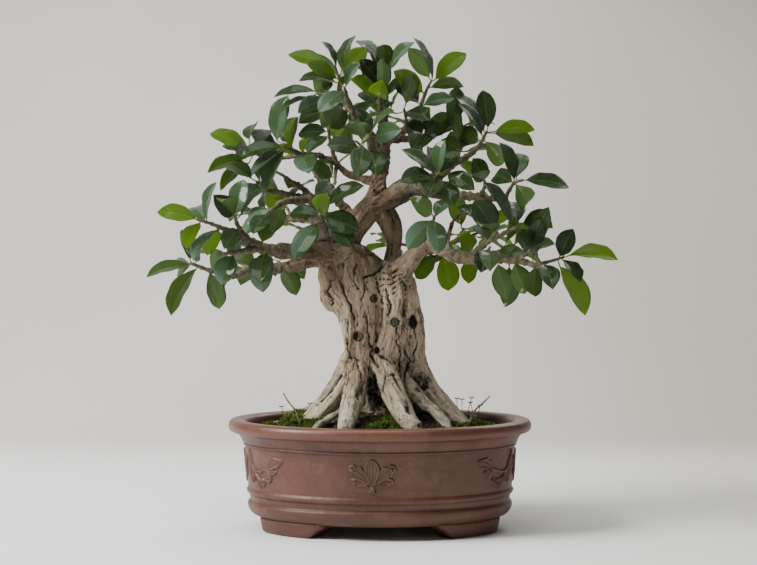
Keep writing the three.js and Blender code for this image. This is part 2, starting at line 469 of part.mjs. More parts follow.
// The largest body of a solid. A hollow that joining sealed, or a loose scrap, is dropped.
function largestBody(solid, largestScrap) {
  const bodies = solid.decompose().sort((a, b) => b.volume() - a.volume());
  const lost = bodies.slice(1).reduce((sum, body) => sum + Math.max(body.volume(), 0), 0);
  if (lost > largestScrap) {
    throw new Error(`a piece of ${lost.toFixed(1)} cubic mm has come loose`);
  }
  return bodies[0].asOriginal().simplify(FINEST_DETAIL);
}

const join = (solids) => wasm.Manifold.union(solids);

const tree = new THREE.Group();

function addNode(name, solid, colour, roughness) {
  const mesh = solid.getMesh();
  const geometry = new THREE.BufferGeometry();
  geometry.setAttribute('position', new THREE.BufferAttribute(mesh.vertProperties, 3));
  geometry.setIndex(new THREE.BufferAttribute(mesh.triVerts, 1));
  geometry.computeVertexNormals();
  const material = new THREE.MeshStandardMaterial({ color: colour, roughness, metalness: 0 });
  const node = new THREE.Mesh(geometry, material);
  node.name = name;
  tree.add(node);
}

// ---- the pot ------------------------------------------------------------------------------------

// A point of an oval, with the angle measured from the front.
function ovalPoint(halfWidth, halfDepth, degrees, z) {
  const angle = THREE.MathUtils.degToRad(degrees);
  return vec(halfWidth * Math.sin(angle), -halfDepth * Math.cos(angle), z);
}

function ovalRing(halfWidth, halfDepth, z) {
  return Array.from({ length: POT.sides }, (_, i) => (
    ovalPoint(halfWidth, halfDepth, (i + 0.5) / POT.sides * 360, z)
  ));
}

const potRing = ([halfWidth, z], shrink = 0) => (
  ovalRing(halfWidth - shrink, halfWidth - POT.endInset - shrink, z)
);

// A foot follows the oval and is undercut at both ends.
function foot(turn, side) {
  const sectionAt = (angle, bottom) => {
    const degrees = turn + side * angle;
    const corner = (halfWidth, z) => ovalPoint(halfWidth, halfWidth - POT.endInset, degrees, z);
    return [corner(POT.footOuter, bottom), corner(POT.footOuter + 1.5, POT.footTop),
      corner(POT.footInner, POT.footTop),
      corner(POT.footInner + 4, bottom)];
  };
  const endBottom = POT.undersideHeight - 1;
  const last = POT.footAngles.length - 1;
  return loft(POT.footAngles.map((angle, i) => sectionAt(angle, i === 0 || i === last ? endBottom : 0)));
}

// One petal of the relief, a low ridge on the wall: its base, its tip and its half width are given across
// and up on the wall, from the middle of the ornament at `turn` degrees round the pot.
function petal(turn, middleHeight, side, [fromAcross, fromUp, toAcross, toUp, halfWidth]) {
  const start = new THREE.Vector2(fromAcross * side, fromUp);
  const end = new THREE.Vector2(toAcross * side, toUp);
  const along = end.clone().sub(start);
  const beside = new THREE.Vector2(-along.y, along.x).normalize();
  const outline = [[0, 0], [0.55, 1], [1, 0], [0.55, -1]];
  const onWall = (share, across, proud) => {
    const flat = start.clone().addScaledVector(along, share).addScaledVector(beside, across * halfWidth);
    const height = middleHeight + flat.y;
    const wall = 132.4 + (height - 41) * (135 - 132.4) / (80.5 - 41);
    const middle = ovalPoint(wall, wall - POT.endInset, turn, 0);
    const step = ovalPoint(wall, wall - POT.endInset, turn + 1, 0).distanceTo(middle);
    return ovalPoint(wall + proud, wall + proud - POT.endInset, turn + flat.x / step, height);
  };
  const ringAt = (proud) => outline.map(([s, a]) => onWall(s, a, proud));
  const points = [...ringAt(-2.5), ...ringAt(0.9), onWall(0.55, 0, 2.2)];
  const n = outline.length;
  const faces = [];
  for (let i = 0; i < n; i += 1) {
    const j = (i + 1) % n;
    faces.push([i, j, j + n], [i, j + n, i + n], [i + n, j + n, 2 * n]);
  }
  for (let i = 1; i + 1 < n; i += 1) faces.push([0, i + 1, i]);
  return solidFrom(points, faces);
}

const PALMETTE = [[0, -6, 0, 16, 5.2], [3, -4, 16, 9, 4.2], [-3, -4, -16, 9, 4.2], [4, -7, 20, -4, 3.4],
  [-4, -7, -20, -4, 3.4], [0, -7, 0, -17, 2.8]];
const SIDE_SPRAY = [[0, -12, -14, 12, 4], [2, -12, 9, 13, 3.6]];
const ORNAMENT_HEIGHT = 61;
const SIDE_SPRAY_TURN = 62;

function potSolid() {
  const feet = [0, 180].flatMap((turn) => [foot(turn, 1), foot(turn, -1)]);
  const palmettes = [0, 180].flatMap((turn) => PALMETTE.map((row) => petal(turn, ORNAMENT_HEIGHT, 1, row)));
  const sprays = [0, 180].flatMap((turn) => [1, -1].flatMap((side) => (
    SIDE_SPRAY.map((row) => petal(turn + side * SIDE_SPRAY_TURN, ORNAMENT_HEIGHT - 4, side, row)))));
  const drains = [-1, 1].map((side) => {
    const hole = new THREE.CylinderGeometry(POT.drainRadius, POT.drainRadius, 30, 12);
    hole.rotateX(Math.PI / 2);
    hole.translate(side * POT.drainOffset, 0, POT.undersideHeight);
    return solidOf(hole);
  });
  const body = loft(POT_PROFILE.map((row) => potRing(row)));
  return join([body, ...feet, ...palmettes, ...sprays]).subtract(join(drains));
}

// A plastic mesh square that keeps the soil off a drain hole.
function screenSolid(side) {
  const { size, thickness, bars, barWidth } = SCREEN;
  const middle = POT.floorTop + GAP + thickness / 2;
  const plate = new THREE.BoxGeometry(size, size, thickness);
  plate.translate(side * POT.drainOffset, 0, middle);
  const pitch = (size - barWidth) / bars;
  const holes = [];
  for (let i = 0; i < bars; i += 1) {
    for (let j = 0; j < bars; j += 1) {
      const hole = new THREE.BoxGeometry(pitch - barWidth, pitch - barWidth, thickness * 3);
      const place = (k) => (k - (bars - 1) / 2) * pitch;
      hole.translate(side * POT.drainOffset + place(i), place(j), middle);
      holes.push(solidOf(hole));
    }
  }
  return solidOf(plate).subtract(join(holes));
}

// ---- the wood -----------------------------------------------------------------------------------

function coreSolid(grow = 0) {
  const sides = 12;
  return loft(TRUNK_CORE.map(([across, up, depth, halfWidth, halfDepth]) => (
    Array.from({ length: sides }, (_, k) => {
      const turn = k / sides * Math.PI * 2;
      const offset = vec(Math.cos(turn) * (halfWidth + grow), Math.sin(turn) * (halfDepth + grow), 0);
      return seen([across, up, depth]).add(offset);
    }))));
}

function burlSolid({ at, size }, grow = 0) {
  const lump = new THREE.IcosahedronGeometry(1.1, 0);
  lump.scale(size[0] + grow, size[1] + grow, size[2] + grow);
  const place = seen(at);
  lump.translate(place.x, place.y, place.z);
  return solidOf(lump);
}

function woodSolid(grow = 0) {
  const limbs = LIMBS.map((path) => limbSolid(path, grow));
  return largestBody(join([coreSolid(grow), ...limbs, ...BURLS.map((burl) => burlSolid(burl, grow))]), 20);
}

// ---- leaves -------------------------------------------------------------------------------------

// A leaf is { root, base, tip, face, width, arch }: its stalk runs from root to base, its blade from base to
// tip, and face is the way that the blade's top looks.

function petioleRing(centre, radius, leaf) {
  return [[-1, 0.6], [1, 0.6], [0, -1]].map(([across, up]) => (
    centre.clone().addScaledVector(leaf.beside, across * radius).addScaledVector(leaf.face, up * radius)));
}

// The faces of a leaf: its stalk's end and sides, then the blade's first, middle and last stretches. The
// blade's section has four corners: its two edges, the top of the midrib and the rib below.
const STALK_FACES = [[0, 2, 1], [0, 1, 4], [0, 4, 3], [1, 2, 5], [1, 5, 4], [2, 0, 3], [2, 3, 5]];
const BLADE_FACES = [
  [3, 7, 6], [3, 4, 7], [4, 8, 7], [4, 5, 8], [5, 9, 8], [5, 6, 9], [5, 3, 6],
  ...Array.from({ length: 4 }, (_, i) => {
    const j = (i + 1) % 4;
    return [[6 + i, 6 + j, 10 + j], [6 + i, 10 + j, 10 + i]];
  }).flat(),
  [10, 11, 14], [11, 12, 14], [12, 13, 14], [13, 10, 14],
];

function leafPoints(leaf, grow = 0) {
  const length = leaf.tip.distanceTo(leaf.base);
  const half = LEAF.thickness / 2 + grow;
  const station = (along, halfWidth, corners) => {
    const middle = leaf.base.clone().lerp(leaf.tip, along)
      .addScaledVector(leaf.face, leaf.arch * length * 4 * along * (1 - along));
    return corners.map(([across, above]) => middle.clone().addScaledVector(leaf.beside, across * halfWidth)
      .addScaledVector(leaf.face, LEAF.fold * Math.abs(across) * halfWidth + above * half));
  };
  const section = [[-1, 0], [0, 1], [1, 0], [0, -1]];
  const halfWidth = leaf.width / 2;
  const rings = LEAF.stations.map(([along, share]) => station(along, share * halfWidth + grow, section));
  return [...petioleRing(leaf.root, LEAF.rootRadius + grow, leaf),
    ...petioleRing(leaf.base, LEAF.petioleRadius + grow, leaf), ...rings.flat(),
    ...station(1, 0, [[0, 0]])];
}

function finishLeaf(leaf) {
  const along = leaf.tip.clone().sub(leaf.base).normalize();
  leaf.face.addScaledVector(along, -leaf.face.dot(along)).normalize();
  leaf.beside = along.clone().cross(leaf.face);
  return leaf;
}

const leafSolid = (leaf) => solidFrom(leafPoints(leaf), [...STALK_FACES, ...BLADE_FACES]);

// The point of a spray's twigs that the front view shows nearest to [across, up].
function twigPointAt(twigs, across, up) {
  let best = null;
  for (const path of twigs) {
    for (let i = 0; i + 1 < path.length; i += 1) {
      const [a, b] = [path[i], path[i + 1]];
      const [dx, dz] = [b[0] - a[0], b[1] - a[1]];
      const furthest = i + 2 < path.length ? 1 : 0.8;
      const unbound = ((across - a[0]) * dx + (up - a[1]) * dz) / (dx * dx + dz * dz);
      const share = Math.min(Math.max(unbound, 0), furthest);
      const point = a.map((value, k) => value + (b[k] - value) * share);
      const distance = Math.hypot(point[0] - across, point[1] - up);
      if (!best || distance < best.distance) best = { point, distance };
    }
  }
  return best.point;
}

// A leaf that the front view shows. Where it looks shorter than it is, it leans by what is missing, and it
// is turned about its midrib until it looks as wide as it is seen.
function seenLeaf(twigs, [baseAcross, baseUp, tipAcross, tipUp, seenWidth, side, lean], draw) {
  const rootPoint = twigPointAt(twigs, baseAcross, baseUp);
  const flat = Math.hypot(tipAcross - baseAcross, tipUp - baseUp);
  const length = Math.max(flat * 1.02, LEAF.length * (0.9 + 0.2 * draw()));
  const leaning = lean === 0 ? 0.35 * (draw() < 0.5 ? -1 : 1) : lean;
  const reach = Math.sqrt(length * length - flat * flat) * leaning;
  const baseDepth = rootPoint[2] + reach * 0.12;
  const root = seen(rootPoint);
  const tip = seen([tipAcross, tipUp, baseDepth + reach]);
  let base = seen([baseAcross, baseUp, baseDepth]);
  if (base.clone().sub(root).dot(tip.clone().sub(base)) < LEAF.leastStalk * length) {
    base = root.clone().lerp(tip, LEAF.leastStalk / length);
  }
  const along = tip.clone().sub(base).normalize();
  const open = TO_VIEWER.clone().addScaledVector(along, -TO_VIEWER.dot(along));
  const width = Math.max(seenWidth, 0.46 * length);
  const facing = Math.min(seenWidth / width / Math.max(open.length(), 0.3), 0.97);
  open.normalize();
  const edgeOn = along.clone().cross(open);
  if (edgeOn.z < 0) edgeOn.negate();
  const face = open.multiplyScalar(side === 't' ? facing : -facing)
    .addScaledVector(edgeOn, Math.sqrt(1 - facing * facing));
  return finishLeaf({ root, base, tip, face, width, arch: LEAF.arch * (0.7 + 0.6 * draw()) });
}

// Leaves in a spiral round a shoot's end, the youngest upright and the oldest spread and drooping.
function whorlLeaves(path, count, draw) {
  const [before, end] = path.slice(-2).map(seen);
  const shoot = end.clone().sub(before);
  const shootLength = shoot.length();
  shoot.normalize();
  const first = shoot.clone().cross(Math.abs(shoot.z) < 0.9 ? UP : vec(1, 0, 0)).normalize();
  const second = shoot.clone().cross(first);
  const turnStart = draw() * Math.PI * 2;
  const leaves = [];
  for (let i = 0; i < count; i += 1) {
    const turn = turnStart + i * 2.399;
    const open = 0.55 + 0.75 * (i / Math.max(count - 1, 1)) + 0.3 * (draw() - 0.5);
    const heading = shoot.clone().multiplyScalar(Math.cos(open))
      .addScaledVector(first, Math.sin(open) * Math.cos(turn))
      .addScaledVector(second, Math.sin(open) * Math.sin(turn));
    heading.z = Math.max(heading.z - 0.12 * draw(), -0.75);
    heading.normalize();
    const root = end.clone().addScaledVector(shoot, -Math.min(1.8 + 2.6 * i, shootLength - 1));
    const length = LEAF.length * (0.86 + 0.28 * draw());
    const base = root.clone().addScaledVector(heading, 6.5 + 2.5 * draw());
    const tip = base.clone().addScaledVector(heading, length);
    const face = UP.clone().multiplyScalar(0.9).addScaledVector(shoot, 0.6)
      .addScaledVector(first, draw() - 0.5);
    leaves.push(finishLeaf({ root, base, tip, face, width: length * (0.46 + 0.07 * draw()),
      arch: LEAF.arch * (0.8 + 0.9 * draw()) }));
  }
  return leaves;
}

// ---- keeping leaves clear of each other and of the wood -----------------------------------------

function trianglesOf(points, faces) {
  return faces.map((face) => face.map((k) => points[k]));
}

function crosses(p, q, [a, b, c]) {
  const along = q.clone().sub(p);
  const ab = b.clone().sub(a);
  const ac = c.clone().sub(a);
  const normal = along.clone().cross(ac);
  const size = ab.dot(normal);
  if (Math.abs(size) < 1e-9) return false;
  const start = p.clone().sub(a);
  const u = start.dot(normal) / size;
  if (u < 0 || u > 1) return false;
  const turned = start.cross(ab);
  const v = along.dot(turned) / size;
  if (v < 0 || u + v > 1) return false;
  const t = ac.dot(turned) / size;
  return t >= 0 && t <= 1;
}

function anyCrossing(triangles, others) {
  return triangles.some(([a, b, c]) => (
    others.some((other) => crosses(a, b, other) || crosses(b, c, other) || crosses(c, a, other))));
}

// The least distance between two straight stretches.
function stretchGap(p, q, a, b) {
  const [u, v, w] = [q.clone().sub(p), b.clone().sub(a), p.clone().sub(a)];
  const [uu, uv, vv, uw, vw] = [u.dot(u), u.dot(v), v.dot(v), u.dot(w), v.dot(w)];
  const flat = uu * vv - uv * uv;
  let s = flat > 1e-9 ? Math.min(Math.max((uv * vw - vv * uw) / flat, 0), 1) : 0;
  const t = Math.min(Math.max((uv * s + vw) / vv, 0), 1);
  s = Math.min(Math.max((uv * t - uw) / uu, 0), 1);
  return w.addScaledVector(u, s).addScaledVector(v, -t).length();
}

// The blade's outline and midrib as pairs of leafPoints().
const BLADE_WIRES = [[6, 10], [10, 14], [8, 12], [12, 14], [7, 11], [11, 14], [6, 7], [7, 8], [10, 11],
  [11, 12]];
const ROOT_WIRES = [[0, 3], [3, 6], [4, 8]];

// Everything that a new leaf has to miss: the blades that stand, and the sticks of wood and stalk.
const standing = [];
const sticks = [];

function boundsOf(points, margin) {
  return new THREE.Box3().setFromPoints(points).expandByScalar(margin);
}

function addStick(from, to, radius, owner) {
  sticks.push({ from, to, radius, owner, box: boundsOf([from, to], radius + LEAF.spare) });
}

function addSticks(path, owner) {
  const centres = path.map(seen);
  for (let i = 0; i + 1 < path.length; i += 1) {
    addStick(centres[i], centres[i + 1], Math.max(path[i][3], path[i + 1][3]), owner);
  }
}

function isClear(leaf, owner) {
  const points = leafPoints(leaf, LEAF.spare);
  const box = boundsOf(points, 0.1);
  const blade = trianglesOf(points, BLADE_FACES);
  const stalk = trianglesOf(points, STALK_FACES);
  for (const other of standing) {
    if (!box.intersectsBox(other.box)) continue;
    const own = other.owner === owner;
    const mine = own ? blade : [...blade, ...stalk];
    const theirs = own ? other.blade : [...other.blade, ...other.stalk];
    if (anyCrossing(mine, theirs) || anyCrossing(theirs, mine)) return false;
  }
  for (const stick of sticks) {
    if (!box.intersectsBox(stick.box)) continue;
    const wires = stick.owner === owner ? BLADE_WIRES : [...BLADE_WIRES, ...ROOT_WIRES];
    const least = stick.radius + LEAF.spare;
    if (wires.some(([i, j]) => stretchGap(points[i], points[j], stick.from, stick.to) < least)) return false;
    if (blade.some((triangle) => crosses(stick.from, stick.to, triangle))) return false;
  }
  return true;
}

// How far a leaf may be moved in depth, base and tip, to come clear: nearest first.
const SHIFTS = [[0, 0], [0, -5], [0, 5], [0, -10], [0, 10], [-2, -15], [2, 15], [-2, -21], [2, 21],
  [-3, -28], [3, 28], [-8, -8], [8, 8], [-12, -16], [12, 16], [-18, -12], [18, 12]];
const TILTS = [0, 0.35, -0.35];

function settled(leaf, owner) {
  for (const tilt of TILTS) {
    for (const [baseShift, tipShift] of SHIFTS) {
      const moved = finishLeaf({ ...leaf, base: leaf.base.clone().add(vec(0, baseShift, 0)),
        tip: leaf.tip.clone().add(vec(0, tipShift, 0)),
        face: leaf.face.clone().addScaledVector(leaf.beside, tilt) });
      if (isClear(moved, owner)) return moved;
    }
  }
  return null;
}

function stand(leaf, owner) {
  const points = leafPoints(leaf);
  standing.push({ owner, box: boundsOf(points, 0), blade: trianglesOf(points, BLADE_FACES),
    stalk: trianglesOf(points, STALK_FACES) });
  addStick(leaf.root, leaf.base, LEAF.petioleRadius, owner);
}

// ---- the leafy sprays ---------------------------------------------------------------------------

// The leaves of every spray, each moved clear of all that stands already. Those that the front view shows
// are placed first.
function placeLeaves(sprays) {
  LIMBS.forEach((path) => addSticks(path, 'trunk'));
  addSticks(TRUNK_CORE, 'trunk');
  sprays.forEach(({ name, twigs }) => twigs.forEach((path) => addSticks(path, name)));
  const placed = new Map(sprays.map(({ name }) => [name, []]));
  const place = (leaf, name) => {
    const moved = settled(leaf, name);
    if (!moved) return;
    stand(moved, name);
    placed.get(name).push(moved);
  };
  const draw = drawsFrom(7);
  sprays.forEach(({ name, twigs, leaves }) => (
    leaves.forEach((row) => place(seenLeaf(twigs, row, draw), name))
  ));
  sprays.forEach(({ name, twigs, whorls }) => whorls.forEach(([twig, count]) => (
    whorlLeaves(twigs[twig], count, draw).forEach((leaf) => place(leaf, name)))));
  return placed;
}

function spraySolid({ twigs }, leaves, woodClear) {
  const wood = twigs.map((path) => limbSolid(path));
  return largestBody(join([...wood, ...leaves.map(leafSolid)]).subtract(woodClear), 1);
}

// ---- the soil, the moss and the dead twigs ------------------------------------------------------

const SOIL_TWIGS = {
  soil_twig_left: [[-80, 104, -64, 1.1], [-84, 115.5, -60, 0.9], [-92, 126, -57, 0.8], [-97, 134, -55, 0.6]],
  soil_twig_right: [[89, 102, -54, 1.2], [94, 115.5, -52, 1], [103, 124, -50, 0.9], [110, 131, -49, 0.6]],
};

// Each patch of moss: its middle across and in depth, its half width, half depth and height.
const MOSS_PATCHES = {
  moss_front: [8, -78, 24, 14, 6.5],
  moss_left: [-80, -56, 30, 17, 6],
  moss_right: [82, -60, 34, 16, 5.5],
  moss_back: [0, 84, 42, 13, 5],
};

const oval = (halfWidth, z, rise = 0) => {
  const wallHalfDepth = (POT_PROFILE[13][0] - POT.endInset) / POT_PROFILE[13][0];
  const halfDepth = halfWidth > 100 ? halfWidth - POT.endInset : halfWidth * wallHalfDepth;
  return ovalRing(halfWidth, halfDepth, z + rise);
};

function soilMound(rise = 0) {
  const draw = drawsFrom(3);
  const rings = SOIL_PROFILE.map(([halfWidth, z], i) => oval(halfWidth - GAP, z, rise)
    .map((point) => point.add(vec(0, 0, i > 1 ? 2.2 * (draw() - 0.5) : 0))));
  return loft(rings);
}

function soilHeightNear(x, y) {
  const wallHalfDepth = (POT_PROFILE[13][0] - POT.endInset) / POT_PROFILE[13][0];
  const reach = Math.hypot(x, y / wallHalfDepth);
  const rows = SOIL_PROFILE.slice(1);
  const k = Math.max(rows.findIndex(([halfWidth], i) => i > 0 && reach >= halfWidth), 1);
  const [outer, inner] = [rows[k - 1], rows[k]];
  return outer[1] + (inner[1] - outer[1]) * (outer[0] - reach) / (outer[0] - inner[0]);
}

function mossSolid([x, y, halfWidth, halfDepth, height]) {
  const rings = [[1, -8], [1, 0.8], [0.7, 5.6]].map(([share, up]) => (
    Array.from({ length: 9 }, (_, k) => {
      const turn = k / 9 * Math.PI * 2;
      const ripple = share * (1 + 0.09 * Math.sin(turn * 3 + x));
      const [px, py] = [x + halfWidth * ripple * Math.cos(turn), y + halfDepth * ripple * Math.sin(turn)];
      return vec(px, py, soilHeightNear(px, py) + up * height / 5.6);
    })));
  return loft(rings);
}

// ---- the whole tree -----------------------------------------------------------------------------

const wood = woodSolid();
const woodClear = woodSolid(GAP);
const soilTwigs = Object.entries(SOIL_TWIGS);
const inSoil = join([woodClear, ...soilTwigs.map(([, path]) => limbSolid(path, GAP))]);
const wallLine = loft([oval(SOIL_PROFILE[1][0] - 1.5, 90), oval(SOIL_PROFILE[1][0] - 1.5, 125)]);

addNode('pot', potSolid(), COLOURS.clay, 0.7);
addNode('drain_screen_left', screenSolid(-1), COLOURS.screen, 0.5);
addNode('drain_screen_right', screenSolid(1), COLOURS.screen, 0.5);
addNode('soil', largestBody(soilMound().subtract(inSoil), 500), COLOURS.soil, 0.95);
for (const [name, row] of Object.entries(MOSS_PATCHES)) {
  const patch = mossSolid(row).intersect(wallLine).subtract(join([inSoil, soilMound(GAP)]));
  addNode(name, largestBody(patch, 2000), COLOURS.moss, 0.95);
}
for (const [name, path] of soilTwigs) addNode(name, limbSolid(path), COLOURS.twig, 0.9);
addNode('trunk', wood, COLOURS.bark, 0.85);

const sprays = Object.entries(SPRAYS).map(([name, spray]) => ({ name, ...spray }));
const placed = placeLeaves(sprays);
for (const spray of sprays) {
  addNode(spray.name, spraySolid(spray, placed.get(spray.name), woodClear), COLOURS.leaf, 0.4);
}

export default tree;
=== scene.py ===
"""A small tree in an oval clay pot, dressed for a studio picture."""

import math

import bmesh
import bpy
import numpy as np
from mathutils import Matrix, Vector
from mathutils.kdtree import KDTree


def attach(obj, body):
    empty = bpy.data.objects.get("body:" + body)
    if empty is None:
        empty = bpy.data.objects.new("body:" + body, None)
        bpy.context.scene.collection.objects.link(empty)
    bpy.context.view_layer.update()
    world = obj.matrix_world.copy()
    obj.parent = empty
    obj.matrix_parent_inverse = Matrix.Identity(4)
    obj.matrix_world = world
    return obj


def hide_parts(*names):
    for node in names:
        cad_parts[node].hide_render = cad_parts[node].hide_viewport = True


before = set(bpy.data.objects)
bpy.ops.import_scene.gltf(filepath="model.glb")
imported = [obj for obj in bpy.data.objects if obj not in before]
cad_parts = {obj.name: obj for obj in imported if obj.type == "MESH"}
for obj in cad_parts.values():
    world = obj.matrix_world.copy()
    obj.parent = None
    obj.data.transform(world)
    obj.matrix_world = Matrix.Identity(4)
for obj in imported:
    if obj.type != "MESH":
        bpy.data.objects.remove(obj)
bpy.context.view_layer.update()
MM = 0.001


# ---- tables, written as rows of words and numbers ----

def read_rows(text):
    """Rows of numbers and words, parted by commas."""
    def value(word):
        if word.isalpha():
            return word
        return int(word) if word.lstrip("-").isdigit() else float(word)
    return tuple(tuple(value(word) for word in row.split()) for row in text.split(",") if row.strip())


def read_paths(text):
    """Paths of such rows, parted by semicolons."""
    return [read_rows(path.replace("\n", " ")) for path in text.split(";")]


def read_sprays(text):
    """Each spray's twigs, its leaves and its whorls."""
    sprays = {}
    for line in text.split("\n"):
        kind, _, rest = line.partition(" ")
        if kind == "twig":
            twigs.append(read_rows(rest))
        elif kind == "leaf":
            leaves.extend(read_rows(rest))
        elif kind == "whorl":
            whorls.extend(read_rows(rest))
        elif kind:
            sprays[kind] = twigs, leaves, whorls = [], [], []
    return sprays


# ---- the tree in millimetres: (across, up, depth, radius), as the front view shows it ----

VIEW_DISTANCE = 1851
EYE_HEIGHT = 281
# in the picture: its size, the column of the pot's middle and the row at eye height
PICTURE_WIDTH, PICTURE_HEIGHT = 757, 565
AXIS_COLUMN, EYE_ROW = 380, 246

TRUNK_CORE = read_rows("""2 84 2 32 28, 2 118 2 31 27, 3 150 0 33 29, 4 180 0 31 29, 0 205 0 33 31,
-10 230 0 36 31, -24 252 0 34 28, -30 268 0 29 25, -36 281 0 22 20""")
LIMBS = read_paths("""-29 140 -6 12, -21 165 -8 16, -19 190 -8 16, -24 215 -8 17, -40 240 -6 18,
-46 266 -4 15, -51 288 -6 12.5, -54 303 -7 8.5;
38 148 -2 11, 33 170 -4 13, 32 197 -5 13, 27 220 -6 14, 18 243 -8 15;
-20 150 -24 9, -14 185 -25 9, -12 220 -26 9, -22 250 -22 9;
2 160 -24 10, 9 190 -22 11, 12 218 -22 12, 12 244 -16 13, 8 256 2 12;
6 150 24 10, 8 200 22 10.8, -16 256 16 10.8;
-24 168 -8 15, -41 137 -14 12.5, -54 120 -20 11, -69 104 -30 9.5, -86 91 -40 6;
-21 160 -26 10, -28 126 -56 9.5, -33 101 -79 8.5, -36 86 -86 6;
1 166 -24 10.8, 13.5 134 -46 10.5, 24 113 -66 9.8, 33 99 -82 8.5, 37 86 -86 6;
18 152 -18 9, 42 126 -38 6.2, 54 117 -48 5.4, 66.5 102 -62 4.6, 72 90 -70 3.4;
33 168 -3 13, 44 144 -7 11.5, 58 125 -13 10, 72 111 -21 8.5, 88 99 -30 6.6, 98 90 -36 5;
-24 128 -38 4.5, -42 114 -52 3.6, -62 101 -66 2.8, -70 92 -72 2.2;
-10 162 22 10.8, -22 130 46 10, -36 110 66 8, -44 94 80 6;
14 160 20 10.8, 30 128 42 10.5, 46 109 60 8, 58 94 72 6;
-26 150 12 10.8, -56 122 30 9.5, -84 104 46 7, -98 92 54 5;
34 150 12 10.8, 62 120 28 8.5, 86 103 40 6.4, 98 92 46 5;
-30 262 0 22, -34 284 1.6 16, -20 308 3.3 14, -6 325 4.9 12.5, -1 345 4.9 10, -1 366 4.1 9, -1 378 4.1 8;
-4 320 4.1 10.8, 8 329 1.6 10.5, 30 343 -8.7 9, 49 336 -20 7, 69 332.2 -34 5.6;
6 248 11.5 10.8, 12 268 16 8, 14 284 16 9, 11 303 11.5 12, -2 322 6.6 11;
14 242 -11.6 14, 22 257 -14 11.5, 31 268 -19 9.6, 40 279 -25 8.8, 49 288 -30 8.2, 59 279 -38 7.4,
73 271 -45 6.8, 90 268.5 -54 6, 103 269.9 -60 5.2;
66 274 -41 3.8, 69 292 -41 3.2, 73 306 -39 2.8, 84 314 -35 2.4;
46 338 -11.6 4.8, 61 351 6.1 4.4;
-46 274 -8.7 12, -62 277 -20 10, -82 276 -38 8.4, -102 276 -54 7.2;
-46 266 6.6 10, -66 268 13 8, -93 259.4 11.6 6.4;
-46 296 1.6 7, -58 304 6.6 6.4, -73 308.7 16 5.2;
-44 292 4.9 8, -58 314 6.6 6.4, -66.5 327 6.6 5.6;
-4 344 6.6 6, -18 348 11.5 5, -32 353 15 4.4, -45 364 18 4, -58 370.5 20 3.5;
-2 370 4.1 7.5, -10 390 0 5.8, -24.5 409.2 -11 4.4;
-1 372 4.1 7, 2 395 3.3 4.8;
0 370 4.9 7, 10 390 6.6 5.8, 25 396.9 6.6 4.8;
8 386 7.4 5, 25 387.8 20 4.2;
-24 262 15 10, -34 278 33 7.6, -43.7 287.6 58 6;
6 250 15 9, 24 266 33 7.4, 43.7 275.8 55 5.8;
-2 338 8.2 8, 1.8 351.5 29 6;
-24 306 8.2 7, -37.6 321.6 31 5;
4 318 11.5 7, 23.6 327.8 32 5;
-2 360 0 5.6, -5.8 371.6 -31 4.4""")
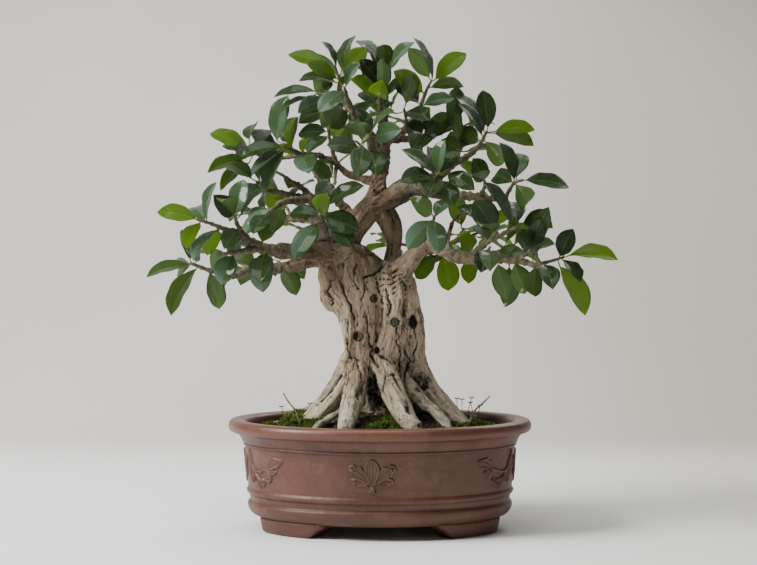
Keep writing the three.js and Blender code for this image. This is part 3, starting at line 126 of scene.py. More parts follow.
# A twig is rows of (across, up, depth, radius). A leaf is its base and tip (across, up), its width, what it
# shows (top or underside), how near it is and its tone. A whorl is a twig's number and how many leaves.
SPRAYS = read_sprays("""left_low_outer
twig -103 276 -55 7.2, -120 279 -70 6, -130 285 -78 5, -140 293 -87 4.4, -156 297.5 -99 3.2
twig -117 278.5 -67 4.2, -130 277 -81 3.6, -143 275 -93 2.8
twig -154 297 -97 2.8, -165 302 -107 2.2, -174 305 -116 1.7, -184 308 -122 1.2
twig -139 294 -86 2.8, -143 303 -96 2.2, -145 311 -102 1.6
twig -142 275 -91 2.6, -150 274 -102 2, -157 273 -110 1.5
twig -112 276 -64 2.2, -116 275 -78 1.6
leaf -184 308 -223 316 15 t 0 y, -173 309 -165 345 9 t 0 p, -176 306 -186 322 10 t 1 p
leaf -158 302 -188 267 9 t -1 p, -180 303 -194 279 11 u 0 y, -163 297 -173 272 11 u 1 y
leaf -144 311 -137 348 17 t 0 p, -145 311 -165 331 15 t -1 d, -141 300 -156 279 12 t -1 d
leaf -146 275 -159 243 20 t -1 p, -155 274 -168 258 16 u 1 o, -145 276 -128 262 12 u 1 o
leaf -116 277 -118 235 22 t -1 p
whorl 3 2, 5 1
left_under_outer
twig -94 259 11.5 6.4, -129 259 3.3 5, -143 252 -5.8 4, -170 256 -23 2.8
twig -168 256 -22 2.6, -180 260 -29 2.2, -190 264 -33 1.5
twig -129 259 4.9 2.2, -136 262 15 1.8, -146 266 25 1.4
twig -96 259 10.7 2.2, -99 263 18 1.8, -102 266 26 1.3
twig -98 262 16 1.6, -88 262 25 1.3
leaf -187 268 -204 257 10 t 1 p, -190 268 -198 298 12 t 0 p, -184 266 -184 288 9 t -1 d
leaf -192 265 -234 252 11 u 0 o, -183 259 -210 212 12 u 0 o, -172 255 -160 218 17 u 0 o
leaf -132 264 -139 244 13 u 1 o, -101 262 -83 232 18 u 0 o, -88 264 -76 249 15 u 1 o
whorl 2 3, 3 2
left_middle
twig -74 309 16 5.2, -90 308 26 4.2, -106 309 36 2.8
twig -103 309 34 2.4, -112 311 39 1.9, -122 314 43 1.4
twig -89 309 27 2.2, -92 317 38 1.7, -96 325 46 1.3
leaf -104 305 -118 286 14 u 0 o
whorl 1 3, 2 3
upper_left
twig -67 328 6.6 5.6, -79 327 0 4.6, -92 326 -17 3.8, -103 322 -29 2.6
twig -67 328 6.6 4.6, -80 330 13 4, -102 334.5 15 3.2, -114 337 13 2.4
twig -67 328 7.4 4.2, -78 339 20 3.4, -92 347 30 2.6
twig -102 321 -28 2.4, -109 317 -38 2, -114 313 -44 1.5
twig -112 336.5 13 2.3, -118 341 9.8 1.9, -124 346 7.4 1.4
twig -90 346.5 29 2.4, -98 352 36 1.9, -106 356 43 1.4
leaf -103 321 -137 292 13 t -1 p, -111 311 -127 294 13 t -1 d, -109 322 -132 304 14 t 1 d
leaf -100 318 -106 296 11 u 1 o, -124 347 -141 322 14 t -1 p, -119 345 -118 362 10 t 1 d
leaf -84 352 -91 341 12 u 1 o
whorl 4 2, 5 3
high_left
twig -59 371 20 3.5, -71 372.4 20 3, -84 374 16 2.6
twig -70 372.4 20 2.8, -90 370 28 2.4, -108 368 33 2
twig -82 374.5 16 2.4, -90 378 11.5 2, -97 382 6.6 1.4
twig -106 368 33 1.9, -117 370 33 1.7, -126 375 30 1.4, -130 379 26 1.1
leaf -103 387 -93 432 18 t 0 p, -99 383 -139 371 12 t 0 d, -96 376 -118 334 15 t -1 p
leaf -87 381 -86 410 10 t 0 y, -100 376 -130 351 10 t -1 p, -99 388 -84 411 13 u 1 o
leaf -79 378 -71 354 22 t -1 p, -128 385 -170 394 15 t 0 y, -131 388 -125 405 6 t 1 d
leaf -122 383 -114 398 10 t 1 d, -135 375 -156 385 10 t 1 d, -128 381 -145 374 12 t -1 d
leaf -134 369 -173 356 10 u 0 o, -131 364 -161 338 10 u 0 o
left_top_low
twig -43 363 18 2.8, -47 374 8 2.2, -50 386 -2 1.8, -52 398 -8 1.4
leaf -54 400 -82 393 14 t 0 d, -51 402 -58 419 14 u 1 o, -47 393 -73 374 11 t -1 d
leaf -50 399 -38 414 13 u 1 o
whorl 0 1
centre_left_front
twig -43 362 18 2.6, -45 352 2 2, -45 343 -12 1.5
leaf -46 341 -64 333 14 t -1 d, -48 350 -66 364 12 u 1 o
top_left
twig -25 410 -11.6 4.4, -32 427 -20 3
twig -28 415 -15 3, -34 421 0 2.8, -38 434 8.2 2.4
twig -31 425 -19 2.4, -42 430 -17 1.9, -54 432 -14 1.6, -64 434 -11.6 1.2
twig -32 425 -20 2.6, -34 433 -29 2, -36 440 -35 1.4
twig -38 432 8.2 2.4, -40 442 9 1.9, -41 452 9 1.3
twig -35 424 3 2.4, -42 421 23 2, -48 418 38 1.4
leaf -66 436 -106 431 10 t 0 d, -56 428 -82 415 13 t -1 d, -53 434 -66 452 12 u 1 o
leaf -37 437 -61 415 13 t -1 p, -36 440 -21 463 9 t 0 p, -42 444 -80 447 10 t 0 d
leaf -48 457 -92 473 15 t 0 y, -42 447 -73 464 14 t -1 y, -44 460 -57 486 6 t 0 d
leaf -37 453 -13 479 18 t 0 y
whorl 2 1, 3 1, 4 1, 5 3
top_middle
twig 2 396 3.3 4.8, 2 413 -2.9 4, 1 420 -7.2 3
twig 3 400 4.1 4, 6 416 13 3.4, 6 436 20 2.4
twig 1 418 -7.2 2.6, 0 425 -17 2.1, 0 431 -26 1.5
twig 6 433 20 2.4, 5 443 20 2, 4 453 18 1.4
twig 5 424 16 2.4, 2 428 31 2, 0 434 43 1.4
leaf -3 431 -28 448 10 t -1 y, 0.5 430 2 445 19 t -1 y, 3 428 27 451 10 t 0 p, 22 426 4 421 12 t -1 d
leaf -4 424 -18 437 12 t 1 x, 1 466 -23 487 11 t 1 p, 6 458 -4 478 14 t 1 d, 7 451 33 486 11 t 0 p
leaf 2 455 -14 481 7 t 0 d, -1 445 -20 467 16 t -1 x
whorl 2 1, 3 1, 4 4
top_right
twig 26 397.5 6.6 4.8, 36 410 3.3 3.8, 41 421 0 2.8
twig 40 419 0 2.6, 43 428 -5.8 2.2, 47 438 -11.6 1.8, 52 447 -14 1.3
twig 27 399 5.7 2.2, 26 408 -8.7 1.8, 24 418 -23 1.3
leaf 49 450 29 479 16 u 1 o, 52.5 450 34 490 9 t 0 d, 56 448 86 474 17 t 0 y, 43 434 14 456 18 t -1 y
leaf 52 437 84 442 11 u 0 o, 38 424 19 447 16 t 1 x, 44 420 74 429 13 t 0 p, 24 424 50 407 11 t -1 d
whorl 2 2
top_low_front
twig -8 383 0 2.2, -10 388 -17 1.8, -10 392 -32 1.3
leaf -9 389 -23 420 13 t 0 d, -5 390 21 397 13 t -1 p, -12 393 -34 400 12 u 1 o
whorl 0 1
top_back_right
twig 26 388 21 4.2, 48 391 33 3.2, 62 394 39 2.4
twig 47 391 33 2.4, 46 394 25 1.9, 46 396 15 1.3
twig 60 393.6 39 2.3, 68 397 43 1.9, 76 400 46 1.4
leaf 42 392 29 404 15 t -1 d, 47 388 57 404 14 t -1 d, 50 396 72 412 18 u 1 o, 67 397 61 415 12 u 1 o
leaf 77 400 79 418 12 u 0 o, 72 392 78 376 12 u 0 o
whorl 1 1, 2 3
centre_front
twig -6 372 -32 4.4, -10 384 -64 3.4, -12 391 -84 2.4
twig -12 390 -81 2.3, -14 388 -96 1.9, -16 385 -107 1.4
leaf -9 378 -4 354 24 t -1 d, -22 380 -53 382 16 t 0 d
whorl 1 2
stub_shoot
twig -54 300 -12 3.4, -58 306 -26 2.8, -60 313 -38 2
twig -57 304.5 -22 2.2, -51 304 -33 1.8, -46 303 -40 1.3
leaf -60 316 -53 333 14 t -1 y, -62 313 -90 314 12 t 0 d, -54 318 -21 297 22 t -1 d
leaf -63 303 -85 268 18 t -1 p, -48 302 -29 280 14 t -1 d, -53 322 -17 342 13 t 0 d
right_branch_shoot
twig 49 289 -33 2.4, 52 300 -52 2, 54 311 -67 1.5
leaf 50 311 27 279 19 t -1 p, 57 310 59 275 18 t -1 p, 56 313 71 328 10 t 0 p, 52 313 31 329 11 u 1 o
right_hanging
twig 20 263 31 5.4, 52 268 34 4.4, 84 270 41 3.4, 104 272 48 2.6
twig 52 267 34 2.2, 58 272 28 1.9, 64 275 23 1.5
twig 86 270 42 2.2, 90 274 34 1.8, 94 276 28 1.4
twig 103 272 47 2.4, 120 276 51 2, 134 282 52 1.4
leaf 56 274 35 249 18 u 0 o, 64 273 69 236 22 u 0 o, 92 271 88 244 16 u 0 o, 98 277 80 293 14 u 1 o
whorl 1 2, 2 2, 3 5
right_fork_shoot
twig 50 336 -22 2.8, 53 342 -44 2.3, 56 348 -64 1.9, 58 353 -72 1.4
leaf 54 353 22 378 12 t 0 d, 58 356 63 387 12 t 0 p, 62 354 80 377 13 t 0 d, 55 356 51 381 10 t 1 d
leaf 51 352 21 347 12 t -1 d, 55 347 48 330 15 t -1 d, 62 346 73 321 18 t -1 d, 68 353 94 338 13 t -1 d
right_fork_outer
twig 70 332 -35 5.6, 89 331 -49 4.6, 112 328 -67 3.4, 127 328 -78 2.6
twig 125 328 -77 2.4, 129 336 -84 2.1, 134 344 -90 1.8, 143 347 -96 1.3
twig 100 330 -58 2.4, 104 338 -72 1.9, 105 346 -84 1.4
leaf 134 348 121 385 13 t 0 d, 132 345 112 352 13 t 1 d, 136 350 143 374 12 t 1 d
leaf 146 347 189 340 14 t 0 d, 136 342 149 324 13 u -1 o, 104 345 93 368 14 t -1 d
whorl 2 2
right_high
twig 62 352 6.6 4.4, 74 363 9.8 4, 88 371 11.5 3.4, 100 381 9.8 2.8
twig 98 380 10.7 2.6, 103 388 6.6 2.1, 107 396 4.1 1.5
twig 73 364 9.8 2.2, 78 372 20 1.8, 82 380 28 1.3
leaf 108 400 103 437 19 t 0 d, 103 390 80 424 12 t -1 d, 116 396 155 398 15 t 0 y
leaf 115 394 154 383 12 u 1 o, 106 385 124 362 14 u -1 o, 103 395 74 436 15 t 1 d, 98 388 76 396 12 u 1 o
leaf 82 380 78 396 12 u 1 o, 78 377 62 386 12 u 1 o
whorl 2 4
right_middle
twig 90 270 -54 4.2, 108 286 -72 3.6, 122 292 -84 2.8
twig 107 284 -71 2.4, 112 289 -90 2, 117 295 -104 1.5
twig 120 291 -83 2.4, 128 296 -93 2.1, 134 299 -99 1.7, 142 304 -102 1.3
leaf 117 296 94 326 24 t 0 d, 114 294 78 322 13 t 1 d, 110 287 98 303 12 t 1 d, 133 299 104 345 11 t -1 d
leaf 142 306 172 311 18 t 0 d, 144 304 172 300 10 u 1 o, 136 297 148 282 12 t 1 d
leaf 138 306 132 326 13 t 1 d
whorl 1 1
right_low_outer
twig 104 270 -61 5.2, 123 267.5 -71 4.4, 140 266 -80 3.8, 154 261.5 -87 2.8
twig 140 268 -81 2.4, 147 274 -87 2, 154 279 -91 1.5
twig 152 262 -87 2.6, 163 264 -90 2.1, 174 267 -91 1.7, 184 270 -91 1.2
twig 120 267 -70 2.2, 124 268 -52 1.8, 132 268 -38 1.4
twig 104 271 -61 2.2, 108 276 -78 1.8, 110 280 -90 1.4
twig 139 265 -78 2.2, 146 263 -64 1.8, 154 264 -49 1.3
leaf 155 281 159 307 15 t -1 d, 152 279 126 288 12 u 1 o, 150 274 121 270 11 u 1 o
leaf 178 271 192 298 15 t 0 d, 184 273 186 292 9 t 1 d, 190 272 238 268 12 t 0 y
leaf 182 266 201 246 11 t 0 d, 180 260 206 212 17 u 0 y, 165 262 173 240 11 t -1 d
leaf 160 267 135 295 10 t -1 d, 118 262 127 228 18 u 0 o, 134 266 145 233 19 u 0 o
leaf 111 280 101 255 20 t -1 x, 156 262 155 230 16 u 0 o
whorl 1 1, 3 2, 4 1, 5 2
back_left
twig -44 288 59 6, -56 292 85 4.4, -62 298 105 2.8
twig -61 297 103 2.8, -66 302 115 2.2, -68 308 125 1.5
twig -57 293 85 2.4, -78 298 92 1.9, -96 306 97 1.4
twig -45 289 60 2.4, -56 304 69 2, -66 316 75 1.4
whorl 1 4, 2 4, 3 2
back_right
twig 44 276 56 5.8, 64 280 80 4.2, 76 286 100 2.8
twig 75 285 99 2.6, 80 292 112 2.1, 84 298 121 1.5
twig 64 281 80 2.4, 84 288 87 1.9, 102 296 92 1.4
twig 50 277 63 2.6, 30 281 74 2, 12 285 80 1.4
whorl 1 4, 2 4, 3 5
back_middle
twig 2 352 30 6, 6 366 52 4.6, 8 382 66 3
twig 8 381 65 2.8, 8 398 76 2.2, 6 414 84 1.5
twig 6 365 51 2.4, -10 374 62 2, -24 386 70 1.4
whorl 1 5, 2 4
back_upper_left
twig -38 322 31 5, -54 340 54 4, -66 356 74 2.8
twig -65 355 73 2.6, -76 368 80 2.1, -88 376 85 1.4
twig -53 339 53 2.4, -48 366 62 1.9, -46 394 66 1.4
whorl 1 5, 2 3
back_upper_right
twig 24 328 33 5, 44 342 54 4, 58 358 72 2.8
twig 57 357 71 2.6, 70 368 80 2.1, 82 378 87 1.4
twig 44 342 54 2.4, 42 368 66 1.9, 40 396 70 1.4
whorl 1 5, 2 3""")


def seen(point):
    """Where a point of the front view lies once it is carried out to its depth."""
    spread = 1 + point[2] / VIEW_DISTANCE
    return np.array((point[0] * spread, point[2],
                     EYE_HEIGHT + (point[1] - EYE_HEIGHT) * spread))


def front_view(points):
    """Across and up in the front view, for an array of points in millimetres."""
    spread = 1 + points[:, 1] / VIEW_DISTANCE
    return points[:, 0] / spread, EYE_HEIGHT + (points[:, 2] - EYE_HEIGHT) / spread


def run_along(points):
    """How far each point is from the first, along the line through them."""
    return np.concatenate([[0], np.cumsum(np.linalg.norm(np.diff(points, axis=0), axis=1))])


def unit(vector):
    return vector / max(np.linalg.norm(vector), 1e-12)


def round_turns(count):
    """Angles evenly spaced over a full turn."""
    return np.arange(count) / count * 2 * math.pi


def level(points):
    """The same points, all at height 0."""
    return np.column_stack([points[:, :2], np.zeros(len(points))])


def mound(*ratios):
    """1 where all the ratios are 0, and falling off smoothly on every side."""
    return np.exp(-sum(ratio ** 2 for ratio in ratios))


def draws_from(seed):
    """The same numbers on every run, from 0 to 1."""
    state = seed
    while True:
        state = (state * 1664525 + 1013904223) % 4294967296
        yield state / 4294967296


# ---- noise, for shapes that are roughened point by point ----

def hashed(cells, seed):
    mixed = (cells[..., 0] * 73856093) ^ (cells[..., 1] * 19349663) ^ (cells[..., 2] * 83492791)
    mixed = (mixed ^ (seed * 2654435761)) & 0xFFFFFFFF
    mixed = ((mixed ^ (mixed >> 15)) * 2246822519) & 0xFFFFFFFF
    mixed = ((mixed ^ (mixed >> 13)) * 3266489917) & 0xFFFFFFFF
    return ((mixed ^ (mixed >> 16)) & 0xFFFFFF) / 0xFFFFFF


def noise(points, scale, seed=0):
    """Smooth noise from -1 to 1; scale is the size of its lumps, one number or one for each axis."""
    spots = np.asarray(points) / np.asarray(scale, float)
    cells = np.floor(spots).astype(np.int64)
    inner = spots - cells
    inner = inner * inner * (3 - 2 * inner)
    total = np.zeros(len(spots))
    for corner in range(8):
        step = np.array((corner & 1, corner >> 1 & 1, corner >> 2 & 1))
        weight = np.where(step, inner, 1 - inner).prod(axis=1)
        total += weight * hashed(cells + step, seed)
    return total * 2 - 1


def smoothstep(value, low, high):
    share = np.clip((value - low) / (high - low), 0, 1)
    return share * share * (3 - 2 * share)


# ---- meshes ----

def as_object(name, data):
    piece = bpy.data.objects.new(name, data)
    bpy.context.scene.collection.objects.link(piece)
    return piece


def carry(mesh, key, kind, values):
    """Gives a mesh something for each point that a material or a node tree reads."""
    layer = mesh.attributes.new(key, kind, "POINT")
    field = {"FLOAT": "value", "FLOAT_VECTOR": "vector", "FLOAT_COLOR": "color"}[kind]
    layer.data.foreach_set(field, np.asarray(values, float).ravel())


def read_out(items, key, width, kind=float):
    """An array of what a mesh keeps for each point, edge or corner."""
    values = np.zeros(len(items) * width, kind)
    items.foreach_get(key, values)
    return values.reshape(-1, width)


def baked(piece):
    """The piece's mesh with its modifiers taken into it."""
    graph = bpy.context.evaluated_depsgraph_get()
    graph.update()
    return bpy.data.meshes.new_from_object(piece.evaluated_get(graph))


def bridged(rows, columns):
    """Quads that join rings of points, each to the next."""
    k, faces = np.arange(columns), []
    for first in range(0, (rows - 1) * columns, columns):
        a, b = first + k, first + (k + 1) % columns
        faces += np.stack([a, b, b + columns, a + columns], -1).tolist()
    return faces


def capped(rows, columns):
    """Such quads, closed by one face at either end."""
    numbers = list(range(rows * columns))
    return bridged(rows, columns) + [numbers[:columns][::-1], numbers[-columns:]]


def mesh_piece(name, points, faces, material, masks=None, uv=None):
    """A smooth mesh object from points in millimetres. masks are colours per point that its material
    reads, and uv is a pair of numbers per point."""
    mesh = bpy.data.meshes.new(name)
    mesh.from_pydata((np.asarray(points) * MM).tolist(), [], faces)
    mesh.materials.append(material)
    mesh.shade_smooth()
    for key, values in (masks or {}).items():
        carry(mesh, key, "FLOAT_COLOR", values)
    if uv is not None:
        layer = mesh.uv_layers.new(name="flat")
        corners = read_out(mesh.loops, "vertex_index", 1, int)
        layer.data.foreach_set("uv", np.asarray(uv, float)[corners].ravel())
    mesh.validate()
    mesh.update()
    return as_object(name, mesh)


def hand_over(piece, slot, *nodes):
    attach(piece, "root")
    if nodes:
        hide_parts(*nodes)


def smooth_path(path, step):
    """Points about `step` apart on a smooth curve through a path of points in space with radii."""
    knots = np.array([[*seen(row), row[3]] for row in path])
    before, after = 2 * knots[0] - knots[1], 2 * knots[-1] - knots[-2]
    knots = np.vstack([before, knots, after])
    rows = []
    for k in range(1, len(knots) - 2):
        a, b, c, d = knots[k - 1:k + 3]
        count = max(int(np.linalg.norm((c - b)[:3]) / step), 2)
        for i in range(count):
            t = i / count
            rows.append(0.5 * (2 * b + (c - a) * t + (2 * a - 5 * b + 4 * c - d) * t * t
                               + (3 * b - a - 3 * c + d) * t ** 3))
    rows.append(knots[-2])
    rows = np.array(rows)
    rows[:, 3] = np.maximum(rows[:, 3], 0.4)
    return rows


def tube_mesh(rows, sides, rough=0.0, seed=0, closed_point=0.5):
    """Points and faces of a closed tube round rows of (x, y, z, radius)."""
    centres, radii = rows[:, :3], rows[:, 3]
    along = np.gradient(centres, axis=0)
    across = np.array((1.0, 0, 0)) if abs(unit(along[0])[0]) < 0.8 else np.array((0, 0, 1.0))
    points = []
    draw = draws_from(seed + 11)
    for i, centre in enumerate(centres):
        way = unit(along[i])
        across = unit(across - way * way.dot(across))
        other = np.cross(way, across)
        turn = (np.arange(sides) + 0.5) / sides * 2 * math.pi
        reach = radii[i] * (1 + rough * np.array([next(draw) - 0.5 for _ in range(sides)]))
        points.append(centre + np.outer(np.cos(turn) * reach, across) + np.outer(np.sin(turn) * reach, other))
    points.append([centres[0] - unit(along[0]) * radii[0] * closed_point,
                   centres[-1] + unit(along[-1]) * radii[-1] * closed_point])
    faces = bridged(len(centres), sides)
    last = (len(centres) - 1) * sides
    tip = last + sides
    for k in range(sides):
        after = (k + 1) % sides
        faces += [(tip, after, k), (tip + 1, last + k, last + after)]
    return np.vstack(points), faces


class Heap:
    """Points and faces gathered into one mesh."""

    def __init__(self):
        self.points, self.faces, self.count = [], [], 0

    def add(self, points, faces):
        self.points.append(points)
        self.faces += [[k + self.count for k in face] for face in faces]
        self.count += len(points)

    def piece(self, name, material, masks=None, uv=None):
        return mesh_piece(name, np.vstack(self.points), self.faces, material, masks, uv)


# ---- looks ----

class Nodes:
    """The nodes of one tree, made by short calls."""

    def __init__(self, tree):
        self.tree = tree

    def put(self, socket, value):
        """A link, where the value is another node's output, and otherwise a number or a colour."""
        if hasattr(value, "is_output"):
            self.tree.links.new(value, socket)
        elif socket.type == "RGBA":
            socket.default_value = (*value, 1)
        else:
            socket.default_value = value

    def node(self, kind, *values, **named):
        """A node and its first inputs. What is named is one of its settings or another of its inputs."""
        made = self.tree.nodes.new(kind)
        for key, value in named.items():
            if hasattr(made, key):
                setattr(made, key, value)
            else:
                self.put(made.inputs[key.replace("_", " ")], value)
        for socket, value in zip(made.inputs, values):
            self.put(socket, value)
        return made

    def noise(self, vector, scale, detail=4, rough=0.55):
        return self.node("ShaderNodeTexNoise", Vector=vector, Scale=scale, Detail=detail,
                         Roughness=rough).outputs["Fac"]

    def math(self, kind, a, b=0.0):
        return self.node("ShaderNodeMath", a, b, operation=kind).outputs[0]

    def plus(self, a, b):
        return self.math("ADD", a, b)

    def minus(self, a, b):
        return self.math("SUBTRACT", a, b)

    def times(self, a, b):
        return self.math("MULTIPLY", a, b)

    def range(self, value, low, high, to_low=0.0, to_high=1.0):
        """to_low where the value is low or less, to_high where it is high or more, and eased between."""
        return self.node("ShaderNodeMapRange", value, low, high, to_low, to_high,
                         interpolation_type="SMOOTHSTEP").outputs[0]


def new_group(name, kind, given, results):
    """A node group with its named inputs and outputs, as (kind of socket, names)."""
    tree = bpy.data.node_groups.new(name, kind)
    for way, sockets in (("INPUT", given), ("OUTPUT", results)):
        for socket, keys in sockets:
            for key in keys:
                tree.interface.new_socket(key, in_out=way, socket_type="NodeSocket" + socket)
    return Nodes(tree)


def once(maker):
    """What a function makes is made at its first call and used again at the others."""
    kept = []

    def wrapped():
        if not kept:
            kept.append(maker())
        return kept[0]
    return wrapped


@once
def uneven_patches():
    """The group behind every weathered finish: broad patches whose edges are broken up by a finer grain."""
    group = new_group("uneven_patches", "ShaderNodeTree",
                      (("Vector", ("Vector",)), ("Float", ("Scale", "Low", "High", "Ragged"))),
                      (("Float", ("Mask", "Grain")),))
    given = group.node("NodeGroupInput").outputs
    broad = group.noise(given["Vector"], given["Scale"], 3, 0.5)
    grain = group.noise(given["Vector"], group.times(given["Scale"], 7.0), 4, 0.5)
    torn = group.times(group.minus(grain, 0.5), given["Ragged"])
    mask = group.range(group.plus(broad, torn), given["Low"], given["High"])
    group.node("NodeGroupOutput", mask, grain)
    return group.tree


class Look(Nodes):
    """A material's nodes, with the colour that its surface has so far."""

    def __init__(self, name):
        self.material = bpy.data.materials.new(name)
        self.material.use_nodes = True
        super().__init__(self.material.node_tree)
        self.surface = self.tree.nodes["Principled BSDF"]
        self.colour = None

    def place(self, scale=(1, 1, 1)):
        coords = self.node("ShaderNodeTexCoord").outputs["Object"]
        return self.node("ShaderNodeMapping", Vector=coords, Scale=scale).outputs[0]

    def carried(self, key, out="Vector"):
        """A place, a colour or a number that the mesh carries for each point."""
        return self.node("ShaderNodeAttribute", attribute_name=key).outputs[out]

    def mark(self, key):
        """Three numbers that the mesh carries as one colour."""
        split = self.node("ShaderNodeSeparateColor", self.carried(key, "Color"))
        return [split.outputs[k] for k in ("Red", "Green", "Blue")]

    def parts(self, vector):
        return self.node("ShaderNodeSeparateXYZ", vector).outputs

    def patches(self, vector, scale, low, high, ragged=0.35):
        """Uneven patches, as of dust, lichen or damp: their mask, and the fine grain within them."""
        node = self.node("ShaderNodeGroup", node_tree=uneven_patches(), Vector=vector, Scale=scale,
                         Low=low, High=high, Ragged=ragged)
        return node.outputs["Mask"], node.outputs["Grain"]

    def cells(self, vector, scale, feature="F1"):
        return self.node("ShaderNodeTexVoronoi", feature=feature, Vector=vector,
                         Scale=scale).outputs["Distance"]

    def mix(self, share, a, b, kind="MIX"):
        node = self.node("ShaderNodeMix", share, data_type="RGBA", blend_type=kind, clamp_factor=True)
        self.put(node.inputs[6], a)
        self.put(node.inputs[7], b)
        return node.outputs[2]

    def tint(self, share, colour):
        """Lays another colour over a share of the surface."""
        self.colour = self.mix(share, self.colour, colour)

    def bump(self, height, depth, strength=1.0, **under):
        return self.node("ShaderNodeBump", Height=height, Distance=depth, Strength=strength,
                         **under).outputs["Normal"]

    def finish(self, **values):
        """The surface's inputs; returns the material."""
        for key, value in {"Base Color": self.colour, **values}.items():
            self.put(self.surface.inputs[key.replace("_", " ")], value)
        return self.material

    def blend(self, share, other):
        """Part of the surface is another shader."""
        node = self.node("ShaderNodeMixShader", share, self.surface.outputs[0], other.outputs[0])
        self.put(self.tree.nodes["Material Output"].inputs["Surface"], node.outputs[0])


@once
def leaf_look():
    """A glossy leaf: paired side veins, mottled green, pale and matt beneath, young leaves fresh green, and
    on some leaves a painted sheen, a pale colour that stands in for reflected sky.
    """
    look = Look("leaf")
    # the tone's pale share is painted sheen: a pale bluish colour that stands in for reflected sky
    young, pale, dark = look.mark("tone")
    chance, _, under = look.mark("own")
    flat = look.parts(look.node("ShaderNodeUVMap", uv_map="flat").outputs["UV"])
    across = look.math("ABSOLUTE", look.minus(flat["X"], 0.5))
    # side veins run forward from the midrib in pairs
    sweep = look.minus(look.times(flat["Y"], 10.5), look.times(across, 7.5))
    wave = look.math("PINGPONG", sweep, 0.5)
    side_vein = look.range(wave, 0.0, 0.11, 1.0, 0.0)
    side_vein = look.times(side_vein, look.range(across, 0.46, 0.36))
    midrib = look.range(across, 0.006, 0.028, 1.0, 0.0)
    veins = look.math("MAXIMUM", side_vein, midrib)
    spot = look.place()
    blotch, mottle = look.patches(spot, 26, 0.4, 0.66, 0.3)
    net = look.cells(spot, 900, "DISTANCE_TO_EDGE")
    green = look.mix(chance, (0.022, 0.072, 0.01), (0.054, 0.138, 0.014))
    green = look.mix(look.times(blotch, 0.35), green, (0.095, 0.195, 0.024))
    green = look.mix(dark, green, (0.006, 0.021, 0.006))
    green = look.mix(young, green, (0.145, 0.265, 0.045))
    # painted reflection: one half of the blade gets more of the pale sheen colour, as if it turned to the sky
    sky_half = look.range(flat["X"], 0.46, 0.54, 0.3, 1.0)
    sky_half = look.times(sky_half, look.range(flat["Y"], 0.0, 0.75, 0.45, 1.0))
    green = look.mix(look.times(pale, sky_half), green, (0.22, 0.36, 0.27))
    vein_colour = look.mix(0.5, green, (0.36, 0.5, 0.14))
    top = look.mix(look.times(side_vein, 0.3), green, vein_colour)
    top = look.mix(look.times(midrib, 0.75), top, vein_colour)
    below = look.mix(0.35, green, (0.17, 0.27, 0.08))
    below = look.mix(look.times(veins, 0.45), below, (0.28, 0.38, 0.13))
    is_under = look.range(under, 0.6, 0.95)
    look.colour = look.mix(is_under, top, below)
    worn = look.mix(1.0, look.colour, (0.55, 0.62, 0.5), "MULTIPLY")
    look.tint(look.range(mottle, 0.3, 0.75, 0, 0.28), worn)
    rough = look.range(mottle, 0.3, 0.7, 0.24, 0.36)
    rough = look.plus(rough, look.times(is_under, 0.3))
    height = look.plus(look.times(side_vein, -0.7), midrib)
    height = look.plus(height, look.times(net, 60.0))
    normal = look.bump(mottle, 0.00035, 0.5, Normal=look.bump(height, 0.00022, 0.8))
    through = look.mix(1.0, look.colour, (3.2, 3.2, 0.9), "MULTIPLY")
    through = look.mix(look.range(young, 0, 0.9, 0.35, 0.7), through, (0.54, 0.68, 0.055))
    glow = look.node("ShaderNodeBsdfTranslucent", Color=through, Normal=normal)
    look.blend(look.range(young, 0.1, 0.85, 0.26, 0.6), glow)
    return look.finish(Roughness=rough, Specular_IOR_Level=0.3, Normal=normal, Coat_Roughness=0.09,
                       Coat_Weight=look.range(pale, 0, 0.8, 0.24, 0.55))


